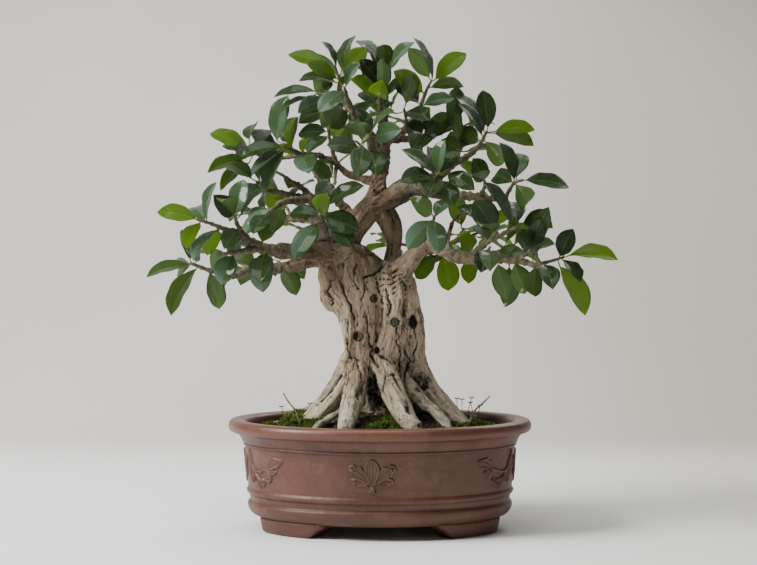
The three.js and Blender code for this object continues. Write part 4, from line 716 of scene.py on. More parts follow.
@once
def bark_look():
    """Tan bark: painted shade in its folds and cracks, grey lichen in patches, browner and knobbly on the
    upper limbs, whose brown is partly painted shade under the leaves.
    """
    look = Look("bark")
    dark, lichen, upper = look.mark("marks")
    spot = look.place()
    strand = look.carried("strand")
    fibres = look.noise(strand, 520, 6, 0.65)
    broad = look.noise(strand, 120, 4, 0.6)
    flecks, grain = look.patches(spot, 190, 0.52, 0.6, 0.5)
    tan = look.mix(look.range(broad, 0.36, 0.64), (0.325, 0.222, 0.122), (0.64, 0.508, 0.33))
    # the upper limbs' brown is partly their own colour and partly painted shade under the leaves
    brown = look.mix(look.range(broad, 0.36, 0.66), (0.064, 0.038, 0.022), (0.178, 0.115, 0.066))
    look.colour = look.mix(upper, tan, brown)
    light = look.mix(upper, (0.7, 0.6, 0.455), (0.245, 0.178, 0.108))
    look.tint(look.range(fibres, 0.5, 0.68, 0, 0.42), light)
    deep = look.mix(upper, (0.085, 0.052, 0.032), (0.03, 0.02, 0.014))
    look.tint(look.range(fibres, 0.45, 0.3, 0, 0.5), deep)
    look.tint(look.patches(spot, 42, 0.44, 0.62)[0], look.mix(0.35, look.colour, light))
    look.tint(look.times(flecks, 0.35), light)
    plates = look.cells(strand, 330, "DISTANCE_TO_EDGE")
    cracks = look.range(plates, 0.0, 0.06, 1.0, 0.0)
    cracks = look.times(cracks, look.patches(spot, 55, 0.38, 0.54)[0])
    look.tint(look.times(cracks, 0.85), (0.035, 0.022, 0.014))
    look.tint(look.range(grain, 0.4, 0.31, 0, 0.6), deep)
    grey = look.times(lichen, look.patches(spot, 240, 0.4, 0.58, 0.6)[0])
    look.tint(look.times(grey, 0.6), (0.4, 0.4, 0.34))
    green = look.times(look.patches(spot, 70, 0.56, 0.68)[0], 0.3)
    look.tint(green, (0.155, 0.165, 0.07))
    bloom = look.times(look.range(look.parts(spot)["Z"], 0.165, 0.12), 0.55)
    look.tint(look.times(bloom, look.range(fibres, 0.38, 0.56)), (0.6, 0.545, 0.45))
    # painted shade: the dark mark is mostly shade painted into folds, cracks and hollows, with the knots' own
    # dark rings and rotten wood
    shade_and_stain = look.mix(grain, (0.008, 0.005, 0.003), (0.034, 0.022, 0.014))
    look.tint(look.range(dark, 0.05, 0.7), shade_and_stain)
    height = look.plus(fibres, look.times(grain, 0.5))
    height = look.minus(height, look.times(cracks, 0.8))
    normal = look.bump(height, 0.0015, 0.95)
    rough = look.range(fibres, 0.3, 0.7, 0.7, 0.9)
    return look.finish(Roughness=rough, Specular_IOR_Level=0.25, Normal=normal)


@once
def twig_look():
    """Shoots: dark brown, ringed and wrinkled, greener where they are young."""
    look = Look("young_twig")
    _, _, young = look.mark("marks")
    spot = look.place()
    flecks, grain = look.patches(spot, 210, 0.5, 0.6, 0.6)
    patch = look.noise(spot, 120, 4, 0.6)
    look.colour = look.mix(look.range(patch, 0.35, 0.65), (0.042, 0.028, 0.02), (0.125, 0.086, 0.058))
    look.tint(look.times(young, 0.42), (0.105, 0.125, 0.038))
    look.tint(look.times(flecks, 0.38), (0.3, 0.24, 0.165))
    rough = look.range(grain, 0.3, 0.7, 0.6, 0.78)
    return look.finish(Roughness=rough, Specular_IOR_Level=0.3, Normal=look.bump(grain, 0.0007, 0.9))


@once
def dead_twig_look():
    look = Look("dead_twig")
    dust, grain = look.patches(look.place((1, 1, 0.4)), 160, 0.45, 0.62, 0.6)
    look.colour = look.mix(look.range(grain, 0.35, 0.65), (0.045, 0.03, 0.02), (0.16, 0.115, 0.075))
    look.tint(look.times(dust, 0.3), (0.26, 0.205, 0.145))
    return look.finish(Roughness=0.85, Normal=look.bump(grain, 0.0006, 0.9))


@once
def clay_look():
    """Reddish-brown fired clay: clouded and faintly speckled, satin on the rim, rubbed on its high spots,
    with painted shade in its grooves and round its carvings.
    """
    look = Look("clay")
    raised, hollow, _ = look.mark("marks")
    spot = look.place()
    cloud, _ = look.patches(spot, 15, 0.36, 0.66, 0.25)
    pale_dust, fine = look.patches(spot, 62, 0.54, 0.7, 0.5)
    streak = look.noise(look.place((1, 1, 5)), 60, 4, 0.6)
    look.colour = look.mix(cloud, (0.073, 0.026, 0.0145), (0.112, 0.043, 0.0255))
    look.tint(look.range(streak, 0.5, 0.75, 0, 0.3), (0.148, 0.064, 0.041))
    look.tint(look.times(pale_dust, 0.14), (0.2, 0.12, 0.09))
    look.tint(look.range(fine, 0.42, 0.28, 0, 0.45), (0.045, 0.019, 0.013))
    specks = look.range(look.cells(spot, 330), 0.1, 0.06)
    specks = look.times(specks, look.range(look.noise(spot, 240, 1), 0.62, 0.66))
    look.tint(look.times(specks, 0.7), (0.52, 0.42, 0.34))
    look.tint(look.range(raised, 0.55, 1.1, 0, 0.4), (0.175, 0.092, 0.066))
    # painted shade in the grooves and along the carvings' edges
    look.tint(look.times(hollow, 0.75), (0.022, 0.01, 0.007))
    rim = look.range(look.parts(spot)["Z"], 0.0965, 0.0985)
    look.tint(look.times(rim, 0.35), (0.15, 0.055, 0.036))
    rough = look.minus(look.range(fine, 0.3, 0.7, 0.4, 0.54), look.times(rim, 0.08))
    scratch = look.noise(look.place((1, 1, 14)), 190, 3, 0.5)
    height = look.plus(fine, look.times(scratch, 0.45))
    normal = look.bump(height, 0.00022, 0.6)
    return look.finish(Roughness=rough, Specular_IOR_Level=0.43, Normal=normal)


@once
def soil_look():
    look = Look("soil")
    spot = look.place()
    lumps, fine = look.patches(spot, 180, 0.38, 0.62, 0.6)
    look.colour = look.mix(lumps, (0.02, 0.013, 0.009), (0.105, 0.07, 0.046))
    look.tint(look.range(fine, 0.62, 0.72, 0, 0.6), (0.2, 0.145, 0.1))
    height = look.plus(lumps, look.times(fine, 0.5))
    return look.finish(Roughness=0.93, Specular_IOR_Level=0.2, Normal=look.bump(height, 0.0022, 1.0))


@once
def grit_look():
    look = Look("grit")
    chance = look.carried("chance", "Fac")
    other = look.math("FRACT", look.times(chance, 17.0))
    look.colour = look.mix(chance, (0.026, 0.017, 0.012), (0.15, 0.1, 0.064))
    look.tint(look.range(other, 0.9, 0.94), (0.36, 0.29, 0.21))
    dust, fine = look.patches(look.place(), 260, 0.45, 0.65, 0.5)
    look.tint(look.times(dust, 0.4), (0.06, 0.042, 0.03))
    return look.finish(Roughness=0.88, Normal=look.bump(fine, 0.0005, 0.8))


@once
def moss_look():
    """Moss: brownish deep down, bright yellow-green at the tips of its shoots."""
    look = Look("moss")
    tip = look.mark("own")[0]
    chance = look.carried("chance", "Fac")
    dry, fine = look.patches(look.place(), 75, 0.52, 0.68, 0.4)
    fresh = look.mix(chance, (0.052, 0.092, 0.012), (0.165, 0.232, 0.034))
    look.colour = look.mix(look.range(tip, 0.0, 0.9), (0.014, 0.02, 0.005), fresh)
    look.tint(look.times(dry, 0.65), (0.11, 0.078, 0.03))
    return look.finish(Roughness=0.85, Specular_IOR_Level=0.2, Normal=look.bump(fine, 0.0006, 0.7))


@once
def screen_look():
    look = Look("screen")
    dust, fine = look.patches(look.place(), 140, 0.45, 0.7, 0.5)
    look.colour = look.mix(fine, (0.012, 0.012, 0.013), (0.035, 0.035, 0.037))
    look.tint(look.times(dust, 0.3), (0.09, 0.07, 0.055))
    return look.finish(Roughness=0.5, Normal=look.bump(fine, 0.0002, 0.5))


@once
def floor_look():
    look = Look("floor")
    spot = look.place()
    cloud = look.noise(spot, 1.4, 3, 0.5)
    table = look.mix(look.range(cloud, 0.3, 0.7), (0.84, 0.848, 0.855), (0.87, 0.878, 0.885))
    wall = look.mix(look.range(cloud, 0.3, 0.7), (0.62, 0.592, 0.555), (0.69, 0.664, 0.632))
    place = look.parts(spot)
    # painted shade: the table and the wall darker towards the right, away from the key lamp on the left
    table = look.mix(look.range(place["X"], 0.05, 0.45, 0, 0.8), table, (0.72, 0.7, 0.675))
    wall = look.mix(look.range(place["X"], -0.05, 0.5, 0, 0.85), wall, (0.47, 0.435, 0.385))
    look.colour = look.mix(look.range(place["Z"], 0.0, 0.03), table, wall)
    # seen from behind, the wall isn't in the way
    clear = look.node("ShaderNodeBsdfTransparent")
    look.blend(look.node("ShaderNodeNewGeometry").outputs["Backfacing"], clear)
    return look.finish(Roughness=0.75, Specular_IOR_Level=0.15)


# ---- the leaves: each one's place follows the plain tree's rule ----

LEAF_LENGTH, LEAF_THICKNESS, LEAF_SPARE, LEAST_STALK = 38, 1.4, 0.5, 3.5
PETIOLE, ROOT = 0.9, 0.5
FOLD, ARCH = 0.22, 0.07
UP = np.array((0.0, 0, 1))
TO_VIEWER = np.array((0.0, -1, 0))


class Leaf:
    """Its stalk runs from root to base and its blade from base to tip; face is the way its top looks."""

    def __init__(self, root, base, tip, face, width, arch, tone="d"):
        self.root, self.base, self.tip = root, base, tip
        self.width, self.arch, self.tone = width, arch, tone
        along = unit(tip - base)
        self.face = unit(face - along * face.dot(along))
        self.beside = np.cross(along, self.face)
        self.length = np.linalg.norm(tip - base)


def petiole_ring(centre, radius, leaf):
    return [centre + leaf.beside * (a * radius) + leaf.face * (u * radius)
            for a, u in ((-1, 0.6), (1, 0.6), (0, -1))]


def leaf_points(leaf, grow=0.0):
    half = LEAF_THICKNESS / 2 + grow

    def station(along, half_width, corners):
        middle = leaf.base + (leaf.tip - leaf.base) * along \
            + leaf.face * (leaf.arch * leaf.length * 4 * along * (1 - along))
        return [middle + leaf.beside * (a * half_width) + leaf.face * (FOLD * abs(a) * half_width + u * half)
                for a, u in corners]

    section = ((-1, 0), (0, 1), (1, 0), (0, -1))
    rows = petiole_ring(leaf.root, ROOT + grow, leaf) + petiole_ring(leaf.base, PETIOLE + grow, leaf)
    for along, share in ((0.3, 0.9), (0.7, 0.86)):
        rows += station(along, share * leaf.width / 2 + grow, section)
    return np.array(rows + station(1, 0, ((0, 0),)))


STALK = np.array(((0, 2, 1), (0, 1, 4), (0, 4, 3), (1, 2, 5), (1, 5, 4), (2, 0, 3), (2, 3, 5)))
BLADE = [(3, 7, 6), (3, 4, 7), (4, 8, 7), (4, 5, 8), (5, 9, 8), (5, 6, 9), (5, 3, 6)]
for k in range(4):
    BLADE += [(6 + k, 6 + (k + 1) % 4, 10 + (k + 1) % 4), (6 + k, 10 + (k + 1) % 4, 10 + k)]
BLADE = np.array(BLADE + [(10, 11, 14), (11, 12, 14), (12, 13, 14), (13, 10, 14)])
BLADE_WIRES = np.array(((6, 10), (10, 14), (8, 12), (12, 14), (7, 11), (11, 14), (6, 7), (7, 8),
                        (10, 11), (11, 12)))
ALL_WIRES = np.vstack([BLADE_WIRES, ((0, 3), (3, 6), (4, 8))])


def dot(a, b):
    return (a * b).sum(axis=-1)


def pierced(starts, ends, triangles):
    """Whether any straight stretch goes through any triangle."""
    if len(starts) == 0 or len(triangles) == 0:
        return False
    p, along = starts[:, None], (ends - starts)[:, None]
    a = triangles[None, :, 0]
    ab, ac = triangles[None, :, 1] - a, triangles[None, :, 2] - a
    normal = np.cross(along, ac)
    size = dot(ab, normal)
    flat = np.abs(size) < 1e-9
    size = np.where(flat, 1, size)
    start = p - a
    u = dot(start, normal) / size
    turned = np.cross(start, ab)
    v = dot(along, turned) / size
    t = dot(ac, turned) / size
    return bool((~flat & (u >= 0) & (u <= 1) & (v >= 0) & (u + v <= 1) & (t >= 0) & (t <= 1)).any())


def meet(mine, theirs):
    return any(pierced(one.reshape(-1, 3), one[:, [1, 2, 0]].reshape(-1, 3), other)
               for one, other in ((mine, theirs), (theirs, mine)))


def stretch_gaps(p, q, a, b):
    """The least distances between each stretch p-q and each stretch a-b."""
    u, v = (q - p)[:, None], (b - a)[None]
    w = p[:, None] - a[None]
    uu, uv, vv, uw, vw = dot(u, u), dot(u, v), dot(v, v), dot(u, w), dot(v, w)
    flat = uu * vv - uv * uv
    s = np.where(flat > 1e-9, np.clip((uv * vw - vv * uw) / np.where(flat > 1e-9, flat, 1), 0, 1), 0)
    t = np.clip((uv * s + vw) / vv, 0, 1)
    s = np.clip((uv * t - uw) / uu, 0, 1)
    return np.linalg.norm(w + u * s[..., None] - v * t[..., None], axis=-1)


class Crowd:
    """What a new leaf has to miss: the leaves that stand, and the sticks of wood and stalk."""

    def __init__(self):
        self.leaves, self.leaf_boxes, self.leaf_owners = [], [], []
        self.sticks, self.stick_boxes, self.stick_owners = [], [], []

    def add_stick(self, start, end, radius, owner):
        reach = radius + LEAF_SPARE
        self.sticks.append((*start, *end, radius))
        self.stick_boxes.append((*(np.minimum(start, end) - reach), *(np.maximum(start, end) + reach)))
        self.stick_owners.append(owner)

    def add_path(self, path, owner):
        for a, b in zip(path, path[1:]):
            self.add_stick(seen(a), seen(b), max(a[3], b[3]), owner)

    @staticmethod
    def touching(box, boxes):
        boxes = np.array(boxes)
        return (boxes[:, :3] <= box[3:]).all(axis=1) & (boxes[:, 3:] >= box[:3]).all(axis=1)

    def is_clear(self, leaf, owner):
        points = leaf_points(leaf, LEAF_SPARE)
        box = np.array((*(points.min(axis=0) - 0.1), *(points.max(axis=0) + 0.1)))
        blade, stalk = points[BLADE], points[STALK]
        if self.leaves:
            near = np.flatnonzero(self.touching(box, self.leaf_boxes))
            own = [self.leaves[k][0] for k in near if self.leaf_owners[k] == owner]
            others = [np.vstack(self.leaves[k]) for k in near if self.leaf_owners[k] != owner]
            if own and meet(blade, np.vstack(own)):
                return False
            if others and meet(np.vstack([blade, stalk]), np.vstack(others)):
                return False
        near = np.flatnonzero(self.touching(box, self.stick_boxes))
        if len(near):
            sticks = np.array([self.sticks[k] for k in near])
            mine = np.array([self.stick_owners[k] == owner for k in near])
            for own, wires in ((True, BLADE_WIRES), (False, ALL_WIRES)):
                some = sticks[mine == own]
                if len(some):
                    gaps = stretch_gaps(points[wires[:, 0]], points[wires[:, 1]], some[:, :3], some[:, 3:6])
                    if (gaps < some[None, :, 6] + LEAF_SPARE).any():
                        return False
            if pierced(sticks[:, :3], sticks[:, 3:6], blade):
                return False
        return True

    def stand(self, leaf, owner):
        points = leaf_points(leaf)
        self.leaves.append((points[BLADE], points[STALK]))
        self.leaf_boxes.append((*points.min(axis=0), *points.max(axis=0)))
        self.leaf_owners.append(owner)
        self.add_stick(leaf.root, leaf.base, PETIOLE, owner)


# how far a leaf's base and tip may be shifted in depth, in the order in which it is tried
SHIFTS = read_rows("""0 0, 0 -5, 0 5, 0 -10, 0 10, -2 -15, 2 15, -2 -21, 2 21, -3 -28, 3 28, -8 -8, 8 8,
-12 -16, 12 16, -18 -12, 18 12""")


def settled(leaf, owner, crowd):
    for tilt in (0, 0.35, -0.35):
        for base_shift, tip_shift in SHIFTS:
            moved = Leaf(leaf.root, leaf.base + (0, base_shift, 0), leaf.tip + (0, tip_shift, 0),
                         leaf.face + leaf.beside * tilt, leaf.width, leaf.arch, leaf.tone)
            if crowd.is_clear(moved, owner):
                return moved
    return None


def twig_point_at(twigs, across, up):
    best = None
    for path in twigs:
        for i in range(len(path) - 1):
            a, b = np.array(path[i], float), np.array(path[i + 1], float)
            dx, dz = b[0] - a[0], b[1] - a[1]
            share = ((across - a[0]) * dx + (up - a[1]) * dz) / (dx * dx + dz * dz)
            share = min(max(share, 0), 1 if i + 2 < len(path) else 0.8)
            point = a + (b - a) * share
            distance = math.hypot(point[0] - across, point[1] - up)
            if best is None or distance < best[0]:
                best = (distance, point)
    return best[1]


def seen_leaf(twigs, row, draw):
    base_across, base_up, tip_across, tip_up, seen_width, side, lean, tone = row
    root_point = twig_point_at(twigs, base_across, base_up)
    flat = math.hypot(tip_across - base_across, tip_up - base_up)
    length = max(flat * 1.02, LEAF_LENGTH * (0.9 + 0.2 * next(draw)))
    if lean == 0:
        lean = 0.35 * (-1 if next(draw) < 0.5 else 1)
    reach = math.sqrt(length * length - flat * flat) * lean
    base_depth = root_point[2] + reach * 0.12
    root = seen(root_point)
    tip = seen((tip_across, tip_up, base_depth + reach))
    base = seen((base_across, base_up, base_depth))
    if (base - root).dot(tip - base) < LEAST_STALK * length:
        base = root + (tip - root) * (LEAST_STALK / length)
    along = unit(tip - base)
    opened = TO_VIEWER - along * TO_VIEWER.dot(along)
    width = max(seen_width, 0.46 * length)
    facing = min(seen_width / width / max(np.linalg.norm(opened), 0.3), 0.97)
    opened = unit(opened)
    edge_on = np.cross(along, opened)
    if edge_on[2] < 0:
        edge_on = -edge_on
    face = opened * (facing if side == "t" else -facing) + edge_on * math.sqrt(1 - facing * facing)
    return Leaf(root, base, tip, face, width, ARCH * (0.7 + 0.6 * next(draw)), tone)


def whorl_leaves(path, count, draw):
    before, end = seen(path[-2]), seen(path[-1])
    shoot_length = np.linalg.norm(end - before)
    shoot = unit(end - before)
    first = unit(np.cross(shoot, UP if abs(shoot[2]) < 0.9 else np.array((1.0, 0, 0))))
    second = np.cross(shoot, first)
    turn_start = next(draw) * math.pi * 2
    leaves = []
    for i in range(count):
        turn = turn_start + i * 2.399
        opened = 0.55 + 0.75 * (i / max(count - 1, 1)) + 0.3 * (next(draw) - 0.5)
        heading = shoot * math.cos(opened) + first * (math.sin(opened) * math.cos(turn)) \
            + second * (math.sin(opened) * math.sin(turn))
        heading[2] = max(heading[2] - 0.12 * next(draw), -0.75)
        heading = unit(heading)
        root = end - shoot * min(1.8 + 2.6 * i, shoot_length - 1)
        length = LEAF_LENGTH * (0.86 + 0.28 * next(draw))
        base = root + heading * (6.5 + 2.5 * next(draw))
        face = UP * 0.9 + shoot * 0.6 + first * (next(draw) - 0.5)
        width = length * (0.46 + 0.07 * next(draw))
        leaves.append(Leaf(root, base, base + heading * length, face, width,
                           ARCH * (0.8 + 0.9 * next(draw)), "w"))
    return leaves


def place_leaves():
    crowd = Crowd()
    for path in LIMBS:
        crowd.add_path(path, "trunk")
    crowd.add_path(TRUNK_CORE, "trunk")
    for name, (twigs, _, _) in SPRAYS.items():
        for path in twigs:
            crowd.add_path(path, name)
    placed = {name: [] for name in SPRAYS}
    draw = draws_from(7)

    def place(leaf, name):
        moved = settled(leaf, name, crowd)
        if moved is not None:
            crowd.stand(moved, name)
            placed[name].append(moved)

    for name, (twigs, leaves, _) in SPRAYS.items():
        for row in leaves:
            place(seen_leaf(twigs, row, draw), name)
    for name, (twigs, _, whorls) in SPRAYS.items():
        for twig, count in whorls:
            for leaf in whorl_leaves(twigs[twig], count, draw):
                place(leaf, name)
    return placed


# ---- fine leaves and twigs ----

STATIONS = np.array((0, .04, .1, .18, .28, .38, .48, .58, .68, .77, .85, .91, .955, 1))
SHARES = np.array((.07, .19, .40, .63, .85, .96, 1.0, 1.0, .95, .845, .67, .465, .25, .03))
ACROSS = np.array((-1, -.8, -.5, -.22, -.07, 0, .07, .22, .5, .8, 1))
FULLER = 1.09                    # the fine blade is a little wider than the faceted one
THIN = 0.26                      # half of a fine blade's thickness
TWIG_SIDES = 10
FIRST_SPRAY_SEED = 100
# young and yellowish, pale with painted sheen, dark
TONES = {"y": (.9, 0, 0), "p": (.1, .85, 0), "d": (.05, .1, .55), "x": (0, 0, 1), "o": (.38, .1, .25),
         "w": (.15, .15, .35)}


def fine_blade(leaf, draw):
    """The blade as a thin closed solid: its top, and an underside that shares its edges."""
    half_width = leaf.width / 2 * FULLER
    twist, curl, lift = (next(draw) - 0.5 for _ in range(3))
    phase, ripple = next(draw) * 6.3, 0.3 + 0.5 * next(draw)
    rows, columns = len(STATIONS), len(ACROSS)
    t, s = np.meshgrid(STATIONS, ACROSS, indexing="ij")
    share = SHARES[:, None] * np.ones(columns)
    side = s * share * half_width
    bowl = FOLD * half_width * share * np.abs(s) ** 1.25 * (1 + 0.5 * lift)
    height = leaf.arch * leaf.length * 4 * t * (1 - t) + bowl
    height += ripple * np.sin(t * 15 + phase + 2 * np.sign(s)) * s * s * share
    height += twist * 0.35 * side * t - (0.8 + curl) * 2.6 * np.maximum(t - 0.62, 0) ** 2 * 6
    sideways = curl * 2.4 * np.sin(t * math.pi) * 0.6
    groove = mound(s / 0.09) * (1 - t) * 0.28
    rib = mound(s / 0.1) * (1.05 - t) * 0.55
    spread = np.multiply.outer
    place = leaf.base + spread(t, leaf.tip - leaf.base) + spread(side + sideways, leaf.beside)
    top = place + spread(height + THIN - groove, leaf.face)
    under = place + spread(height - THIN - rib, leaf.face)
    edge = np.abs(s) == 1
    top[edge] = (place + spread(height, leaf.face))[edge]
    numbers = np.arange(rows * columns).reshape(rows, columns)
    inner = np.arange(rows * (columns - 2)).reshape(rows, columns - 2) + rows * columns
    below = numbers.copy()
    below[:, 1:-1] = inner
    points = np.vstack([top.reshape(-1, 3), under[:, 1:-1].reshape(-1, 3)])
    faces = []
    for i in range(rows - 1):
        for j in range(columns - 1):
            faces.append((numbers[i, j], numbers[i, j + 1], numbers[i + 1, j + 1], numbers[i + 1, j]))
            faces.append((below[i, j], below[i + 1, j], below[i + 1, j + 1], below[i, j + 1]))
    for i, sense in ((0, -1), (rows - 1, 1)):
        faces.append([*numbers[i], *below[i, -2:0:-1]][::sense])
    flat = np.stack([s * 0.5 * np.maximum(share, 0.05) + 0.5, t], axis=-1)
    uv = np.vstack([flat.reshape(-1, 2), flat[:, 1:-1].reshape(-1, 2)])
    is_under = np.zeros(len(points))
    is_under[rows * columns:] = 1
    return points, faces, uv, is_under


def fine_stalk(leaf, draw):
    """The stalk, bent a little, and run on under the blade's first stretch."""
    ahead = leaf.base + (leaf.tip - leaf.base) * 0.05 - leaf.face * 0.35
    sag = (next(draw) - 0.6) * 0.09 * np.linalg.norm(leaf.base - leaf.root)
    rows = []
    for k, radius in enumerate((0.85, 0.72, 0.66, 0.66, 0.7, 0.75, 0.5)):
        share = k / 5
        at = leaf.root + (leaf.base - leaf.root) * min(share, 1) + leaf.face * (sag * 4 * share * (1 - share))
        rows.append((*(at if k < 6 else ahead), radius))
    return tube_mesh(np.array(rows), 6)


def spray_pieces(name, leaves, twigs, seed):
    """A spray's leaves with their stalks as one piece and its twigs as another."""
    draw = draws_from(seed)
    blades, uvs, tones, owns = Heap(), [], [], []
    for leaf in leaves:
        points, faces, uv, is_under = fine_blade(leaf, draw)
        chance, other = next(draw), next(draw)
        tone = np.array(TONES[leaf.tone]) * (0.85 + 0.3 * chance)
        # painted light: the leaves at the back and the hanging ones get the young yellow-green so that they
        # look lit through from behind
        if name.startswith("back") or name.endswith("hanging"):
            tone = np.array((0.55 + 0.4 * chance, 0, 0))
        elif leaf.tone == "w":
            tone = tone + (0.35 * max(other - 0.55, 0), 0.5 * max(0.3 - chance, 0), 0.3 * (other < 0.5))
        blades.add(points, faces)
        uvs.append(uv)
        tones.append(np.tile((*tone, 1), (len(points), 1)))
        owns.append(np.tile((chance, other, 0, 1), (len(points), 1)))
        owns[-1][:, 2] = is_under
        points, faces = fine_stalk(leaf, draw)
        blades.add(points, faces)
        uvs.append(np.tile((0.5, 0.1), (len(points), 1)))
        tones.append(np.tile((0.45 + 0.3 * chance, 0.1, 0, 1), (len(points), 1)))
        owns.append(np.tile((chance, other, 0.4, 1), (len(points), 1)))
    if leaves:
        masks = {"tone": np.vstack(tones), "own": np.vstack(owns)}
        hand_over(blades.piece(name + "_leaves", leaf_look(), masks, np.vstack(uvs)), "leaf", name)
    wood, marks = Heap(), []
    for number, path in enumerate(twigs):
        rows = smooth_path(path, 1.6)
        start = unit(rows[0, :3] - rows[1, :3])
        rows = np.vstack([[*(rows[0, :3] + start * 2.0), rows[0, 3]], rows])
        rows = twig_detail(rows, seed + number)
        points, faces = tube_mesh(rows, TWIG_SIDES, rough=0.22, seed=seed + number, closed_point=0.7)
        young = np.clip(1 - (rows[:, 3] - 1.2) / 3, 0, 1)
        young = np.concatenate([np.repeat(young, TWIG_SIDES), young[[0, -1]]])
        blank = np.zeros(len(points))
        wood.add(points, faces)
        marks.append(np.column_stack([blank, blank, 0.6 + 0.4 * young, blank + 1]))
    hand_over(wood.piece(name + "_twigs", twig_look(), {"marks": np.vstack(marks)}), "bark", name)


def twig_detail(rows, seed):
    """Swollen rings where leaves once stood, and a slightly crooked run."""
    rows = rows.copy()
    along = run_along(rows[:, :3])
    shift = (seed * 37 % 11) * 0.7
    rings = mound(((along + shift) % 8.5 - 4.2) / 0.9)
    fade = smoothstep(along, 0, 4) * smoothstep(along[-1] - along, 0, 3)
    rows[:, 3] *= 0.86 + 0.3 * rings * fade
    sway = np.column_stack([noise(rows[:, :3], 9, seed + k) for k in range(3)])
    rows[:, :3] += sway * (0.45 * fade)[:, None]
    return rows


# ---- the trunk, its roots and its limbs: one skin, with bark worked into it ----

# Round swellings of the trunk: place (across, up, depth), half width and half height.
SWELLINGS = read_rows("-45 233 -8 14 17, 20 236 12 17 20, -57 300 -8 8 6, 34 206 -12 9 13")
# Scars on the front of the trunk as (across, up, half width, half height, kind).
SCARS = read_rows("""-6 229 4.0 4.2 eye, 14.5 205 4.2 4.6 eye, 33 205 4.6 8.5 hollow,
-21 190.5 5.2 5.4 eye, -3 176.6 3.2 4.4 hollow, 43 143 8 10 rot, -5 336 1.9 2.0 eye, 3 336 1.7 2.2 eye,
-46 234 10 9 lump, -7 131 6.0 17 rot, -56 301 5 4 cut, 27 250 9 8 lump, 36 186 3.2 8 lump,
-33 250 8 8 lump, 29 118 5 7 rot""")
# Fissures on the front of the trunk, as lines of (across, up).
FISSURES = read_paths("""5 261, -4 254, -15 250, -18 228, -13 205, -9.5 182, -7 170, -4 160;
-3 172, 6 168, 15.5 158, 20 148; 16 200, 18 178, 20 156; 23 182, 28 167, 25 146, 28 130;
-30 208, -33 186, -27 160, -34 142; 34 198, 36 180, 33 165; 6 238, 10 222, 7 212;
-25 172, -19 152, -22 128; 4 152, 3 136, 0 122; -38 262, -37 240, -29 222, -26 208;
-24 262, -26 250, -22 238; 12 152, 22 138, 34 122; -48 246, -52 236, -47 224; -14 158, -16 140, -17 122;
-40 152, -48 138, -60 126""")


def distance_to_line(across, up, line):
    best = np.full(len(across), 1e9)
    for (ax, az), (bx, bz) in zip(line, line[1:]):
        dx, dz = bx - ax, bz - az
        share = np.clip(((across - ax) * dx + (up - az) * dz) / (dx * dx + dz * dz), 0, 1)
        best = np.minimum(best, np.hypot(across - ax - share * dx, up - az - share * dz))
    return best


def nearest_limb(points, rows):
    """For each point the number of the closest of the limbs' centres."""
    tree = KDTree(len(rows))
    for i, row in enumerate(rows):
        tree.insert(Vector(row[:3]), i)
    tree.balance()
    return np.array([tree.find(Vector(p))[1] for p in points])


def limb_rows():
    """Close-set centres along every limb: place, radius, distance along, direction."""
    out = []
    core = [(a, u, d, (w + e) / 2) for a, u, d, w, e in TRUNK_CORE]
    for path in (*LIMBS, core):
        rows = smooth_path(path, 3)
        along = run_along(rows[:, :3])
        way = np.gradient(rows[:, :3], axis=0)
        way /= np.linalg.norm(way, axis=1)[:, None]
        out.append(np.column_stack([rows, along, way]))
    return np.vstack(out)


def slimmed(rows):
    """The upper limbs are a little thinner than the solids that carry the shoots."""
    rows = rows.copy()
    rows[:, 3] *= 1 - 0.16 * smoothstep(rows[:, 2], 245, 310)
    return rows


def raw_trunk():
    """The limbs as overlapping tubes, made one skin."""
    heap = Heap()
    turn = round_turns(40)
    rings = []
    core = smooth_path([(a, u, d, w) for a, u, d, w, e in TRUNK_CORE], 5)
    depth = smooth_path([(a, u, d, e) for a, u, d, w, e in TRUNK_CORE], 5)
    for row, other in zip(core, depth):
        rings.append(row[:3] + np.column_stack([np.cos(turn) * row[3], np.sin(turn) * other[3], turn * 0]))
    heap.add(np.vstack(rings), capped(len(rings), len(turn)))
    for number, path in enumerate(LIMBS):
        heap.add(*tube_mesh(slimmed(smooth_path(path, 4)), 20, rough=0.05, seed=number, closed_point=0.6))
    for *at, half_width, half_height in SWELLINGS:
        x, y, z = seen(at)
        rows = [(x, y, z - math.cos(t) * half_height * 0.97, max(math.sin(t), 0.12) * half_width)
                for t in np.linspace(0, math.pi, 10)]
        heap.add(*tube_mesh(np.array(rows), 16))
    rough = heap.piece("trunk_rough", bark_look())
    change = rough.modifiers.new("one_skin", "REMESH")
    change.mode, change.voxel_size, change.adaptivity = "VOXEL", 1.45 * MM, 0
    change.use_smooth_shade = True
    mesh = baked(rough)
    bpy.data.objects.remove(rough)
    return mesh


def mesh_arrays(mesh):
    return (read_out(mesh.vertices, "co", 3) / MM, read_out(mesh.vertex_normals, "vector", 3),
            read_out(mesh.edges, "vertices", 2, int))


def relaxed(points, edges, rounds, pull=0.5):
    count = np.bincount(edges.ravel(), minlength=len(points))[:, None]
    for _ in range(rounds):
        total = np.zeros_like(points)
        np.add.at(total, edges[:, 0], points[edges[:, 1]])
        np.add.at(total, edges[:, 1], points[edges[:, 0]])
        points = points + (total / count - points) * pull
    return points


